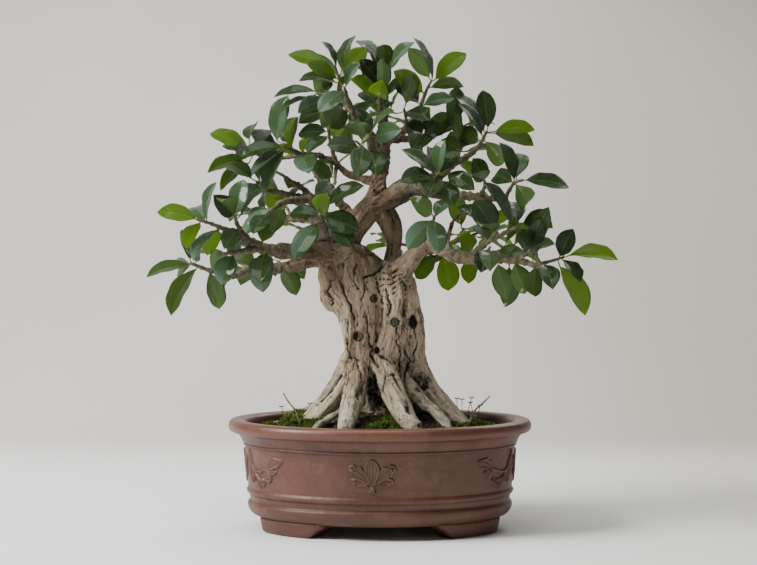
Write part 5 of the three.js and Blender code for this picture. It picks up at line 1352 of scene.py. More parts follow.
class Skin:
    """The trunk's skin while it is worked: for each of its points how far it is to move outwards, how dark it
    is (mostly painted shade in its folds, cracks and hollows), and how much it is stained by a knot. front is
    1 where the skin looks to the front."""

    def __init__(self, mesh):
        self.points, self.normals, self.edges = mesh_arrays(mesh)
        rows = limb_rows()
        row = rows[nearest_limb(self.points, rows)]
        self.radius, self.along, self.way = row[:, 3], row[:, 4], row[:, 5:8]
        arm = self.points - row[:, :3]
        self.arm = arm - self.way * dot(arm, self.way)[:, None]
        self.across, self.up = front_view(self.points)
        self.front = smoothstep(-self.normals[:, 1], 0.05, 0.5)
        self.thin = 1 - smoothstep(self.radius, 5, 11)
        self.move, self.dark, self.stain = np.zeros((3, len(self.points)))

    def noise(self, scale, seed):
        return noise(self.points, scale, seed)

    def darken(self, amount):
        self.dark = np.maximum(self.dark, amount)

    def strands(self, pitch):
        """Places in which noise is squeezed across each limb and drawn out along it."""
        return self.arm + self.way * (self.along * pitch)[:, None]

    def roughen(self):
        """Ridges and flutes along the limbs, lumps all over, and knobs on the thin ones."""
        strand = self.strands(0.16)
        ridges = 1 - 2 * np.abs(noise(strand, 4.6, 3)) ** 0.8
        flutes = 1 - 2 * np.abs(noise(strand, 10.5, 14)) ** 0.8
        big = np.clip(self.radius / 12, 0.12, 1)
        self.move = big * (0.42 * ridges + 2.1 * flutes + 1.3 * self.noise((12, 12, 18), 5))
        self.move += 0.24 * noise(strand, 2.2, 8) * np.clip(self.radius / 6, 0.3, 1)
        knobs = self.noise(6.5, 9)
        self.move += self.thin * (0.75 * np.abs(knobs) ** 0.7 * np.sign(knobs))

    def wrinkle(self):
        """Rings where the low right branch leaves the trunk, round the leader, and across roots and limbs,
        with painted shade in their troughs.
        """
        wrinkled = mound((self.across - 14) / 14, (self.up - 246) / 17)
        wrinkled += 0.7 * mound((self.across + 2) / 12, (self.up - 345) / 28)
        wave = (self.up - 0.45 * self.across + 4.2 * self.noise(11, 21)) * 1.2
        self.move += wrinkled * np.sin(wave)
        # painted shade in the troughs of the wrinkles
        self.darken(0.62 * wrinkled * smoothstep(-np.sin(wave), 0.72, 1.0))
        ringed = smoothstep(-self.up, -185, -140) * smoothstep(self.noise(15, 23), -0.1, 0.6)
        ringed = np.maximum(ringed, 1.1 * self.thin * smoothstep(self.up, 225, 260))
        wave = np.sin(self.along * 1.15 + 2.4 * self.noise(9, 24))
        self.move += 0.28 * ringed * wave
        # painted shade in the troughs of the rings
        self.darken(0.4 * ringed * smoothstep(-wave, 0.75, 1.0))

    def add_scar(self, scar, seed):
        """An eye, a hollow, rotten wood, a cut or a lump."""
        across, up, half_width, half_height, kind = scar
        warp = 1 + (0.5 if kind == "rot" else 0.22) * self.noise(5, seed)
        r = np.hypot((self.across - across) / half_width, (self.up - up) / half_height) * warp
        hill, pit = mound((r - 1.25) / 0.38), smoothstep(-r, -1.05, -0.35)
        if kind == "eye":
            self.move += self.front * (1.5 * hill - 1.8 * pit + 1.5 * mound(r / 0.42))
            rings = 0.26 + 0.6 * mound((r - 0.88) / 0.19) + 0.42 * mound(r / 0.28)
            disc = self.front * smoothstep(-r, -1.1, -0.85)
            self.dark = np.where(disc > 0.3, rings * disc, np.maximum(self.dark, rings * disc))
            self.stain = np.maximum(self.stain, disc)
        elif kind == "hollow":
            self.move += self.front * (1.3 * hill - 4.2 * pit)
            # painted shade inside the hollow
            self.darken(self.front * smoothstep(-r, -1.1, -0.6))
        elif kind == "rot":
            crumbled = self.front * smoothstep(-r, -1.3, -0.5)
            self.move += crumbled * (1.3 * self.noise(2.6, 47) - 1.8)
            self.darken(crumbled * (0.62 + 0.45 * self.noise(2.4, 46)))
        elif kind == "cut":
            self.move += self.front * (0.8 * hill - 1.4 * pit)
            self.darken(self.front * 0.5 * pit)
        else:
            self.move += self.front * 2.2 * mound(r / 0.9)

    def add_fissure(self, line, number):
        gap = distance_to_line(self.across + 2.2 * self.noise(6, 60 + number), self.up, line)
        open_here = (0.65 + 0.35 * self.noise(8, 80 + number)) * (1 - 0.9 * self.stain)
        self.move += self.front * open_here * (0.8 * mound((gap - 3.4) / 1.5) - 2.5 * mound(gap / 1.3))
        # painted shade along the fissure
        self.darken(0.9 * self.front * open_here * mound(gap / 0.95))

    def settle(self):
        """Moves the points and paints shade into what lies lower than its surroundings."""
        moved = self.points + self.normals * self.move[:, None]
        self.points = relaxed(moved, self.edges, 1, 0.25)
        sunk, close = (dot(relaxed(self.points, self.edges, rounds) - self.points, self.normals)
                       for rounds in (26, 5))
        # painted shade in the broad and the narrow hollows of the skin
        self.darken(0.95 * smoothstep(sunk, 0.4, 2.0))
        self.darken(0.7 * smoothstep(close, 0.12, 0.45) * (1 - 0.8 * self.stain))

    def marks(self):
        """How dark (mostly painted shade), how grey with lichen and how brown (partly painted shade under the
        leaves) each point is, for the bark's finish.
        """
        lichen = mound((self.across + 53) / 9, (self.up - 295) / 10) * self.front
        lichen = np.maximum(lichen, 0.55 * smoothstep(self.noise(17, 90), 0.25, 0.7))
        # upper: browner higher up and on thin limbs, partly the bark's own colour and partly painted shade
        # under the leaves
        height = self.up + 12 * self.noise(20, 25) - 0.35 * np.clip(self.across, -40, 15)
        upper = 0.95 * smoothstep(height, 205, 285)
        upper = np.maximum(upper, 0.9 - 0.9 * np.clip((self.radius - 6) / 7, 0, 1))
        upper = np.maximum(upper, 0.8 * self.stain)
        return np.column_stack([self.dark, np.clip(lichen, 0, 1), upper, np.ones(len(upper))])


def set_points(mesh, points):
    mesh.vertices.foreach_set("co", (points * MM).ravel())
    mesh.update()


def trunk_piece():
    mesh = raw_trunk()
    points, _, edges = mesh_arrays(mesh)
    set_points(mesh, relaxed(points, edges, 4))
    skin = Skin(mesh)
    skin.roughen()
    skin.wrinkle()
    for number, scar in enumerate(SCARS):
        skin.add_scar(scar, 40 + number)
    for number, line in enumerate(FISSURES):
        skin.add_fissure(line, number)
    skin.settle()
    set_points(mesh, skin.points)
    mesh.materials.clear()
    mesh.materials.append(bark_look())
    carry(mesh, "marks", "FLOAT_COLOR", skin.marks())
    carry(mesh, "strand", "FLOAT_VECTOR", skin.strands(0.2) * MM)
    mesh.shade_smooth()
    hand_over(as_object("trunk_skin", mesh), "bark", "trunk")


# ---- the pot ----

END_INSET = 30.2                             # how much less deep than wide each half of the oval is
DRAIN_ACROSS, DRAIN_RADIUS = 55, 9
# half width and height, from the foot line up the outside to the foot of the plain wall
POT_LINE = read_rows("""118.5 13.2, 123.5 14.2, 127 15.9, 129.6 18.4, 131.2 21.4, 131.9 24.4, 131.8 26.6,
131.1 28, 129.9 28.7, 129.5 29.5, 129.6 31.5, 130 33.6, 130.2 34.6, 130 35.3, 131.2 35.8,
132.5 36.9, 133.1 38.5, 132.8 40.3, 131.9 41.6, 131.5 42.4""")
WALL_TOP = (134.9, 82.6)
# from the top of the wall over the little step, the neck and the rim, and down inside
POT_TOP = read_rows("""134.8 83.1, 135.9 83.5, 136.5 84.3, 136.4 85.3, 135.9 85.9, 136 86.5, 137.2 86.9,
137.7 88.2, 138.7 90.6, 140.4 93.1, 142.6 95.2, 144.9 96.4, 147.6 96.9, 149.5 97.9, 150.5 99.4,
151 101.4, 151.1 103.4, 150.5 105.8, 149.2 107.7, 147.2 108.7, 144 109, 138 108.6, 135.4 107.7,
133.7 106, 133 103.4, 132.4 98, 127 66, 122 42, 118 16""")
GROOVES = (29.2, 35.2, 83.0, 86.3, 97.0)     # heights at which shade is painted
WALL_ROWS = 66
PALMETTE_SHIFT = 7.6                         # the front's palmette stands a little left of the middle
POT_REACH, CARVED_REACH = 133, 133.3         # half widths by which lengths round the pot are measured
# the carved motifs: the angle round the pot, the height of their middle, and which motif
FRONT_TURN, SIDE_TURN = 0, 60
CARVINGS = ((FRONT_TURN, 63.2, "palmette"), (SIDE_TURN, 62.5, "spray"), (90, 64.0, "palmette"))


def oval(half_width, turn, z, inset=END_INSET):
    half_width = np.asarray(half_width, float)
    across, depth = half_width * np.sin(turn), -(half_width - inset) * np.cos(turn)
    return np.stack(np.broadcast_arrays(across, depth, z), -1)


def bump_at(distance, half):
    """A rounded ridge: its height is 1 on its middle line and 0 beyond `half` from it."""
    return np.sqrt(np.clip(1 - (distance / half) ** 2, 0, 1))


def curl_line(start, centre, radius, turns, sense, steps=26):
    """A stem from start that winds into a scroll round centre."""
    out = []
    angle0 = math.atan2(start[1] - centre[1], start[0] - centre[0])
    far = math.hypot(start[0] - centre[0], start[1] - centre[1])
    for k in range(steps + 1):
        share = k / steps
        reach = far + (radius * 0.25 - far) * share ** 0.8
        angle = angle0 + sense * turns * 2 * math.pi * share
        out.append((centre[0] + reach * math.cos(angle), centre[1] + reach * math.sin(angle)))
    return tuple(out)


def petal(across, up, start, end, half_width, bend=0.0, widest=0.5, ribs=(0.0,), lobes=0):
    """A petal with a raised rim and ribs round a sunken field; returns its height, 0 outside it.
    widest is how far along it is broadest, and lobes scallops its edge."""
    dx, dz = end[0] - start[0], end[1] - start[1]
    length = math.hypot(dx, dz)
    t = ((across - start[0]) * dx + (up - start[1]) * dz) / length ** 2
    s = ((up - start[1]) * dx - (across - start[0]) * dz) / length
    s = s - bend * length * 4 * t * (1 - t)
    power = math.log(0.5) / math.log(widest)
    profile = half_width * np.sin(math.pi * np.clip(t, 0, 1) ** power) ** 0.72
    if lobes:
        profile = profile * (1 + 0.13 * np.cos(t * lobes * 2 * math.pi))
    ratio = np.abs(s) / np.maximum(profile, 0.05)
    inside = smoothstep(-ratio, -1.16, -0.96) * smoothstep(t, 0, 0.03) * smoothstep(1 - t, 0, 0.03)
    rim = mound((ratio - 0.92) * np.maximum(profile, 0.8) / 0.62)
    height = 0.42 + 0.62 * rim
    for rib in ribs:
        height = np.maximum(height, 0.9 * mound((np.abs(s) - rib * profile) / 0.5))
    return inside * height


def ridge(across, up, line, half):
    """A rounded stem along a line."""
    return bump_at(distance_to_line(across, up, line), half)


def palmette(across, up):
    """An upright pointed petal, two lobed leaves that spread and curl on each side, and a drop below."""
    side, up = np.abs(across) / 1.12, up / 1.12
    height = petal(side, up, (2.0, -9), (18.6, 6.4), 5.0, 0.1, 0.66, lobes=4)
    height = np.maximum(height, petal(side, up, (2.6, -9.6), (17.4, -5.2), 3.6, 0.12, 0.68, lobes=3))
    middle = petal(side, up, (0, -12), (0, 14.6), 6.0, 0, 0.66, (0.0, 0.5))
    height = np.where(middle > 0.02, middle, height)
    for line, half in ((curl_line((14.5, 8.6), (17.0, 5.6), 2.3, 0.9, -1), 1.0),
                       (curl_line((13.5, -2.4), (15.4, -5.4), 2.0, 0.9, -1), 0.9),
                       (((1.1, -9), (0.9, -12), (2.4, -13.6)), 0.9)):
        height = np.maximum(height, ridge(side, up, line, half))
    return np.maximum(height, petal(side, up, (0, -8), (0, -16), 1.8))


def spray_motif(across, up):
    """A bent stem with a pointed leaf towards the front, scrolls under it and long strokes beside it."""
    across, up = across / 1.32, up / 1.25
    height = petal(across, up, (7.5, 1.5), (22.5, 9.4), 3.9, 0.06, 0.55, lobes=3)
    for start, end, half, bend in (((-18.8, 13.4), (-14.2, -11), 2.5, 0.05),
                                   ((-12.4, 3), (-9.6, -9.5), 1.5, 0.0),
                                   ((10, 0.4), (17.5, 0.2), 1.6, -0.1),
                                   ((-4.4, -7.5), (-0.6, -14), 1.7, 0.0)):
        height = np.maximum(height, petal(across, up, start, end, half, bend))
    stem = ((-18.6, 14.4), (-16.6, 8), (-13.4, 2.6), (-9, -0.4), (-4, -1), (1, 0.2), (8, 2.2))
    for line, half in ((stem, 1.15), (((-9, -0.6), (-6.4, -4.4), (-2.4, -7), (2, -7.6)), 1.05),
                       (curl_line((-1.5, -2.4), (7.2, -5.4), 2.9, 0.85, -1), 1.1),
                       (curl_line((-2, -7), (1.6, -10), 2.0, 0.9, -1), 0.8)):
        height = np.maximum(height, ridge(across, up, line, half))
    return height


MOTIFS = {"palmette": palmette, "spray": spray_motif}


def carving_places():
    """Each carving's angle round the pot, which way it faces, its height and its motif."""
    for angle, height, motif in CARVINGS:
        turns = {0: (0, 180), 90: (90, 270)}.get(angle, (angle, -angle, 180 + angle, 180 - angle))
        for turn in turns:
            towards_front = 1 if turn in (angle, 180 + angle) else -1
            yield math.radians(turn), -towards_front if motif == "spray" else 1, height, motif


def wall_turns():
    """Angles round the pot, close together at the carvings and wide apart between them."""
    fine, coarse, half_width = 0.6, 2.4, 28.0
    turns, angle = [], 0.0
    places = [place[0] % (2 * math.pi) for place in carving_places()]
    while angle < 2 * math.pi - 1e-4:
        turns.append(angle)
        per_turn = math.hypot(POT_REACH * math.cos(angle), (POT_REACH - END_INSET) * math.sin(angle))
        gap = min(abs((angle - place + math.pi) % (2 * math.pi) - math.pi) for place in places) * per_turn
        angle += (fine if gap < half_width else coarse) / per_turn
    if 2 * math.pi - turns[-1] < 0.4 * fine / POT_REACH:
        turns.pop()
    return np.array(turns)


def carved(turn, heights):
    """How high the carvings stand on the plain wall, at each height and angle."""
    raised = np.zeros((len(heights), len(turn)))
    for centre, facing, middle, motif in carving_places():
        offset = (turn - centre + math.pi) % (2 * math.pi) - math.pi
        per_turn = math.hypot(CARVED_REACH * math.cos(centre), (CARVED_REACH - END_INSET) * math.sin(centre))
        across = offset * per_turn * facing
        if motif == "palmette" and abs(math.sin(centre)) < 0.5:
            across = across + PALMETTE_SHIFT * math.cos(centre)
        near = np.abs(across) < 34
        a, z = np.meshgrid(across[near], heights - middle)
        form = MOTIFS[motif](a.ravel(), z.ravel()).reshape(a.shape)
        raised[:, near] = np.maximum(raised[:, near], form)
    return raised


def pot_wall():
    turn = wall_turns()
    start, end = np.array(POT_LINE[-1]), np.array(WALL_TOP)
    wall = [start + (end - start) * k / WALL_ROWS for k in range(1, WALL_ROWS + 1)]
    line = np.array([*POT_LINE, *wall, *POT_TOP])
    heights = line[:, 1]
    points = np.array([oval(w, turn, z) for w, z in line])
    rows, columns = points.shape[:2]
    outward = np.stack([np.sin(turn), -np.cos(turn), turn * 0], -1)
    outward /= np.linalg.norm(outward, axis=1)[:, None]
    raised = np.zeros((rows, columns))
    on_wall = slice(len(POT_LINE), len(POT_LINE) + WALL_ROWS)
    raised[on_wall] = carved(turn, heights[on_wall])
    # painted shade: a dark line hugs every raised edge and lies in the grooves
    wide = np.max([np.roll(raised, (i, k), (0, 1)) for i in (-1, 0, 1) for k in (-1, 0, 1)], axis=0)
    hollow = 0.7 * np.clip(wide - raised, 0, 1) * (wide > 0.3) * (raised < 0.62)
    for groove in GROOVES:
        band = mound((heights - groove) / 0.45) * (np.arange(rows) < rows - 12)
        hollow = np.maximum(hollow, band[:, None] * 0.8)
    flat = points.reshape(-1, 3)
    push = 1.75 * raised.ravel() + 0.14 * noise(flat, 3.4, 4) + 0.3 * noise(flat, 26, 6)
    flat = flat + np.tile(outward, (rows, 1)) * push[:, None]
    # the inside's lowest ring joins the outside's first one
    faces = (np.array(bridged(rows + 1, columns)) % len(flat)).tolist()
    blank = np.zeros(len(flat))
    return flat, faces, {"marks": np.column_stack([raised.ravel(), hollow.ravel(), blank, blank + 1])}


def pot_pieces():
    look = clay_look()
    points, faces, masks = pot_wall()
    hand_over(mesh_piece("pot_wall", points, faces, look, masks), "clay", "pot")
    # the floor of the pot with its feet and drain holes
    turn = round_turns(128)
    line = ((0.5, 13), (60, 13), (104, 13), (112.5, 13), (118.5, 13.2), (122, 14.2), (123, 15.6),
            (118, 17.9), (60, 18), (0.5, 18))
    rings = [oval(w, turn, z, min(END_INSET, w * 0.23)) for w, z in line]
    base = mesh_piece("pot_base", np.vstack(rings), capped(len(rings), len(turn)), look)
    turn = round_turns(32)
    for side in (-1, 1):
        across, depth = side * DRAIN_ACROSS + DRAIN_RADIUS * np.cos(turn), DRAIN_RADIUS * np.sin(turn)
        hole = np.vstack([np.column_stack([across, depth, turn * 0 + z]) for z in (4, 26)])
        cutter = mesh_piece("drain_cutter", hole, capped(2, len(turn)), look)
        cut = base.modifiers.new("drain", "BOOLEAN")
        cut.operation, cut.object, cut.solver = "DIFFERENCE", cutter, "EXACT"
        base.data = baked(base)
        base.modifiers.clear()
        bpy.data.objects.remove(cutter)
    hand_over(base, "clay", "pot")
    for number, (middle, side) in enumerate(((0, 1), (0, -1), (math.pi, 1), (math.pi, -1))):
        points, faces = foot_shape(middle, side)
        hand_over(mesh_piece("pot_foot_%d" % number, points, faces, look), "clay", "pot")


FOOT_TOP = 15.4


def foot_shape(middle, side):
    """A foot that follows the oval, upright outside, its inner end cut back in a slope."""
    steps, ring = 48, 24
    points = []
    for i in range(steps + 1):
        share = i / steps
        angle = math.radians(27.5 + 42.5 * share)
        bottom = 9.6 * smoothstep(-share, -0.19, 0.0) ** 1.1 + 5.0 * smoothstep(share, 0.95, 1.0)
        for k in range(ring):
            turn = k / ring * 2 * math.pi
            box = np.array((math.cos(turn), math.sin(turn)))
            box = np.sign(box) * np.abs(box) ** 0.3
            half_width = 111.5 + 14.3 * box[0] - 2.0 * (0.5 - 0.5 * box[1]) * (box[0] > 0)
            z = (FOOT_TOP + bottom) / 2 + (FOOT_TOP - bottom) / 2 * box[1]
            points.append(oval(half_width, middle + side * angle, z))
    return np.array(points), [face[::side] for face in capped(steps + 1, ring)]


# ---- the soil, its grit, the moss and what lies on it ----

SOIL_LINE = ((131.4, 97.4), (105, 103.4), (66, 110.4), (30, 115), (0, 116.2))
WALL_RATIO = (132.4 - END_INSET) / 132.4     # depth to width of the pot's inside at the soil


def soil_height(points):
    reach = np.hypot(points[:, 0], points[:, 1] / WALL_RATIO)
    line = np.array(SOIL_LINE)[::-1]
    height = np.interp(reach, line[:, 0], line[:, 1])
    flat = level(points)
    return height + 1.6 * noise(flat, 16, 31) + 0.9 * noise(flat, 5.5, 32) + 0.45 * noise(flat, 2.4, 33)


def soil_rings(reaches, turn):
    """The soil's top as rings, from the wall inwards."""
    top = np.vstack([np.column_stack([r * np.sin(turn), -r * WALL_RATIO * np.cos(turn), turn * 0])
                     for r in reaches])
    top[:, 2] = soil_height(top)
    return top


def soil_piece():
    turn = round_turns(300)
    top = soil_rings(np.linspace(1.5, 131.3, 82)[::-1], turn)
    low = [oval(w, turn, z) * (0.992, 0.992, 1) for w, z in ((118, 21), (122, 45), (127, 72))]
    points = np.vstack(low + [top])
    faces = capped(len(points) // len(turn), len(turn))
    hand_over(mesh_piece("soil_bed", points, faces, soil_look()), "soil", "soil")


# the trunk's strands and the roots, apart from the last one at the back
STANDING_IN_SOIL = LIMBS[:14]


def near_wood(points, gap_wanted):
    """Whether a point of the soil's top lies in the trunk or a root."""
    foot = [(*seen(TRUNK_CORE[1]), 30.0)]
    rows = np.vstack([smooth_path(path, 4) for path in STANDING_IN_SOIL] + [foot])
    gap = np.linalg.norm(points[:, None] - rows[None, :, :3], axis=-1) - rows[None, :, 3]
    return gap.min(axis=1) < gap_wanted


@once
def strewing_tree():
    """The tree that strews copies of one small shape over a surface, where the surface's "bare" allows."""
    group = new_group("strewn_over_surface", "GeometryNodeTree",
                      (("Geometry", ("Surface",)), ("Object", ("Shape",)),
                       ("Float", ("Per Square Metre", "Smallest", "Largest", "Lean")),
                       ("Int", ("Seed",)), ("Material", ("Finish",))),
                      (("Geometry", ("Strewn",)),))
    given = group.node("NodeGroupInput").outputs

    def chance(low, high, kind, seed_shift):
        """A random number or vector for each copy."""
        seed = group.plus(given["Seed"], seed_shift)
        made = group.node("FunctionNodeRandomValue", data_type=kind, Seed=seed)
        first, out = (0, 0) if kind == "FLOAT_VECTOR" else (2, 1)
        group.put(made.inputs[first], low)
        group.put(made.inputs[first + 1], high)
        return made.outputs[out]

    bare = group.node("GeometryNodeInputNamedAttribute", data_type="FLOAT", Name="bare").outputs["Attribute"]
    spots = group.node("GeometryNodeDistributePointsOnFaces", Mesh=given["Surface"],
                       Density=group.times(given["Per Square Metre"], bare), Seed=given["Seed"])
    lean = group.node("ShaderNodeCombineXYZ", given["Lean"], given["Lean"], 3.1416).outputs[0]
    back = group.node("ShaderNodeVectorMath", lean, operation="SCALE", Scale=-1).outputs[0]
    turn = chance(back, lean, "FLOAT_VECTOR", 7)
    size = chance(given["Smallest"], given["Largest"], "FLOAT", 3)
    shape = group.node("GeometryNodeObjectInfo", Object=given["Shape"])
    copies = group.node("GeometryNodeInstanceOnPoints", Points=spots.outputs["Points"],
                        Instance=shape.outputs["Geometry"], Rotation=turn, Scale=size)
    marked = group.node("GeometryNodeStoreNamedAttribute", data_type="FLOAT", domain="INSTANCE",
                        Name="chance", Geometry=copies.outputs[0], Value=chance(0.0, 1.0, "FLOAT", 11))
    plain = group.node("GeometryNodeRealizeInstances", Geometry=marked.outputs[0])
    finished = group.node("GeometryNodeSetMaterial", Geometry=plain.outputs[0], Material=given["Finish"])
    group.node("NodeGroupOutput", finished.outputs[0])
    return group.tree


def strewn(surface, shape, finish, **values):
    """What the tree strews over a surface, as a plain mesh."""
    change = surface.modifiers.new("strewn", "NODES")
    change.node_group = strewing_tree()
    wanted = {"Shape": shape, "Finish": finish}
    wanted.update({key.replace("_", " "): value for key, value in values.items()})
    for item in change.node_group.interface.items_tree:
        if item.in_out == "INPUT" and item.name in wanted:
            change[item.identifier] = wanted[item.name]
    surface.update_tag()
    mesh = baked(surface)
    surface.modifiers.clear()
    bpy.data.objects.remove(shape)
    return mesh


def surface_piece(name, points, columns, bare, look):
    """An open sheet of quads, with how thickly things may be strewn over each point."""
    piece = mesh_piece(name, points, bridged(len(points) // columns, columns), look)
    carry(piece.data, "bare", "FLOAT", bare)
    return piece


def crumb_shape():
    """An angular lump of soil or grit, about 1 across."""
    golden = (1 + math.sqrt(5)) / 2
    corners = np.array([(0, s, t * golden) for s in (-1, 1) for t in (-1, 1)])
    corners = np.vstack([corners, np.roll(corners, 1, 1), np.roll(corners, 2, 1)]) * 0.27
    corners *= (1 + 0.35 * noise(corners, 0.31, 12))[:, None]
    form = bmesh.new()
    for corner in corners * (1.0, 0.8, 0.7):
        form.verts.new(corner)
    bmesh.ops.convex_hull(form, input=form.verts)
    mesh = bpy.data.meshes.new("crumb")
    form.to_mesh(mesh)
    form.free()
    return as_object("crumb", mesh)


def tuft_shape(seed):
    """A tuft of moss, about 1 high: pointed leaflets that spread from one root."""
    draw = draws_from(seed)
    points, faces, tips = [], [], []
    for k in range(7):
        angle, spread = k * 2.4 + next(draw), 0.1 + 0.42 * next(draw) if k else 0.02
        height = (1.0 if k == 0 else 0.72 + 0.25 * next(draw)) - 0.45 * spread
        way = np.array((math.cos(angle), math.sin(angle), 0))
        beside = np.array((-way[1], way[0], 0))
        waist = way * spread * 0.55 + (0, 0, height * 0.6)
        first = len(points)
        points += [beside * 0.11, way * 0.1 - (0, 0, 0.05), -beside * 0.11,
                   waist + beside * 0.1, waist - beside * 0.1, way * spread + (0, 0, height)]
        tips += [0, 0, 0, 0.6, 0.6, 1.0]
        faces += [(first, first + 1, first + 3), (first + 1, first + 4, first + 3),
                  (first + 1, first + 2, first + 4), (first, first + 3, first + 4, first + 2),
                  (first + 3, first + 4, first + 5)]
    mesh = bpy.data.meshes.new("tuft")
    mesh.from_pydata([tuple(point) for point in points], [], faces)
    carry(mesh, "own", "FLOAT_COLOR", [(tip, 0, 0, 1) for tip in tips])
    mesh.update()
    return as_object("tuft", mesh)


def soil_grains():
    turn = round_turns(140)
    points = soil_rings(np.linspace(129.6, 4, 48), turn)
    bare = 1.0 - near_wood(points, 0.8)
    for number, (name, low, high, count) in enumerate((("soil_grit", 0.9, 2.0, 150000),
                                                       ("soil_lumps", 2.0, 4.4, 26000))):
        surface = surface_piece("grit_surface", points, len(turn), bare, soil_look())
        mesh = strewn(surface, crumb_shape(), grit_look(), Per_Square_Metre=count, Smallest=low * MM,
                      Largest=high * MM, Lean=3.1416, Seed=5 + number)
        bpy.data.objects.remove(surface)
        hand_over(as_object(name, mesh), "soil")


# middle across and in depth, half width, half depth, height of the pad and of its tufts;
# the first four carry the part's own nodes, the others are carpets between the roots
MOSS = {"moss_front": (8, -78, 24, 14, 6.5, 4.6), "moss_left": (-80, -56, 30, 17, 6, 4.6),
        "moss_right": (82, -60, 34, 16, 5.5, 4.2), "moss_back": (0, 84, 42, 13, 5, 4.0)}
CARPETS = {"moss_carpet_left": (-78, -14, 25, 26, 7.5, 5.4),
           "moss_carpet_left_end": (-112, -14, 9, 13, 3, 3.4),
           "moss_carpet_right": (92, -16, 20, 17, 4.5, 4.4), "moss_carpet_mid": (4, -60, 12, 16, 4.5, 4.8),
           "moss_carpet_rear": (-60, 52, 30, 18, 5, 4.6), "moss_carpet_rear_right": (58, 56, 26, 16, 4, 4.4)}


def moss_cover(points, patch):
    x, y, half_width, half_depth, height, _ = patch
    r = np.hypot((points[:, 0] - x) / half_width, (points[:, 1] - y) / half_depth)
    flat = level(points)
    r = r * (1 + 0.16 * noise(flat, 11, 51) + 0.1 * noise(flat, 4, 52))
    return height * np.sqrt(np.clip(1 - r ** 2.4, 0, 1)), r


def moss_pieces():
    turn = round_turns(72)
    for number, (name, patch) in enumerate({**MOSS, **CARPETS}.items()):
        x, y, half_width, half_depth, _, tall = patch
        rings = []
        for share in (1.05, 0.98, 0.9, 0.8, 0.68, 0.55, 0.42, 0.28, 0.14, 0.03):
            ring = np.column_stack([x + half_width * share * np.cos(turn),
                                    y + half_depth * share * np.sin(turn), turn * 0])
            limit = 129.8 / np.maximum(np.hypot(ring[:, 0], ring[:, 1] / WALL_RATIO), 1e-6)
            ring[:, :2] *= np.minimum(limit, 1)[:, None]
            cover, _ = moss_cover(ring, patch)
            ring[:, 2] = soil_height(ring) - 0.9 + cover * (0.75 + 0.45 * noise(level(ring), 6.5, 61))
            rings.append(ring)
        points = np.vstack([rings[0] - (0, 0, 5)] + rings)
        _, reach = moss_cover(points, patch)
        thick = smoothstep(-reach, -1.05, -0.8) * (1 - near_wood(points, 0.0))
        thick *= smoothstep(noise(points, 7, 63), -0.75, 0.1)
        thick[:len(turn)] = 0
        pad = surface_piece(name + "_pad", points, len(turn), thick, moss_look())
        form = bmesh.new()
        form.from_mesh(pad.data)
        bmesh.ops.holes_fill(form, edges=form.edges, sides=0)
        form.to_mesh(pad.data)
        form.free()
        nodes = (name,) if name in MOSS else ()
        tufts = strewn(pad, tuft_shape(40 + number), moss_look(), Per_Square_Metre=560000,
                       Smallest=0.55 * tall * MM, Largest=1.15 * tall * MM, Lean=0.5, Seed=70 + number)
        hand_over(pad, "moss", *nodes)
        hand_over(as_object(name + "_tufts", tufts), "moss", *nodes)


SOIL_TWIGS = {
    "soil_twig_left": ((-80, 104, -64, 1.1), (-84, 115.5, -60, .9), (-92, 126, -57, .8), (-97, 134, -55, .6)),
    "soil_twig_right": ((89, 102, -54, 1.2), (94, 115.5, -52, 1), (103, 124, -50, .9), (110, 131, -49, .6)),
}
# Each sprout's place (across, up, depth) and how tall it is.
SPROUTS = read_rows("""82 118 -6 9, 88 117 -2 12, 93 116 -10 8, 77 118 4 10, 98 114 -4 7, -96 112 -2 8,
-70 116 6 7""")


def twigs_and_sprouts():
    heap = Heap()
    for number, (across, up, depth, tall) in enumerate(SPROUTS):
        lean = 0.35 * math.sin(number * 2.1)
        path = [(across + lean * tall * share ** 1.5, up - 5 + (tall + 5) * share, depth, 0.42 - 0.1 * share)
                for share in (0, 0.4, 0.75, 1)]
        heap.add(*tube_mesh(smooth_path(path, 1.5), 6))
        top = path[-1][1]
        for side in (-1, 1):
            leaflet = [(path[-1][0] + side * out, top + rise, depth, radius)
                       for out, rise, radius in ((0, 0, 0.4), (1.4, 0.9, 0.75), (2.6, 1.0, 0.4))]
            heap.add(*tube_mesh(smooth_path(leaflet, 0.7), 6))
    own = np.tile((0.9, 0.6, 0, 1), (heap.count, 1))
    hand_over(heap.piece("soil_sprouts", moss_look(), {"own": own}), "moss")
    for number, (name, path) in enumerate(SOIL_TWIGS.items()):
        rows = twig_detail(smooth_path(path, 1.2), 90 + number)
        form = tube_mesh(rows, TWIG_SIDES, rough=0.16, seed=number, closed_point=0.4)
        hand_over(mesh_piece(name + "_wood", *form, dead_twig_look()), "twig", name)


BARS, BAR_PITCH, BAR_LENGTH, BAR_HEIGHT = 9, 4.0, 34, 19.15


def screen_pieces():
    """Bars woven over and under each other above each drain hole."""
    for side, name in ((-1, "drain_screen_left"), (1, "drain_screen_right")):
        heap = Heap()
        for k in range(BARS):
            offset = (k - BARS // 2) * BAR_PITCH
            for runs_back in (0, 1):
                rows = []
                for i in range(33):
                    run = (i / 32 - 0.5) * BAR_LENGTH
                    wave = 0.21 * math.cos((run / BAR_PITCH + k + runs_back) * math.pi)
                    across, depth = (offset, run) if runs_back else (run, offset)
                    height = BAR_HEIGHT + (wave if runs_back else -wave)
                    rows.append((side * DRAIN_ACROSS + across, depth, height, 0.42))
                heap.add(*tube_mesh(np.array(rows), 6))
        hand_over(heap.piece(name + "_mesh", screen_look()), "screen", name)


# ---- the floor, the backdrop, the lamps and the camera ----

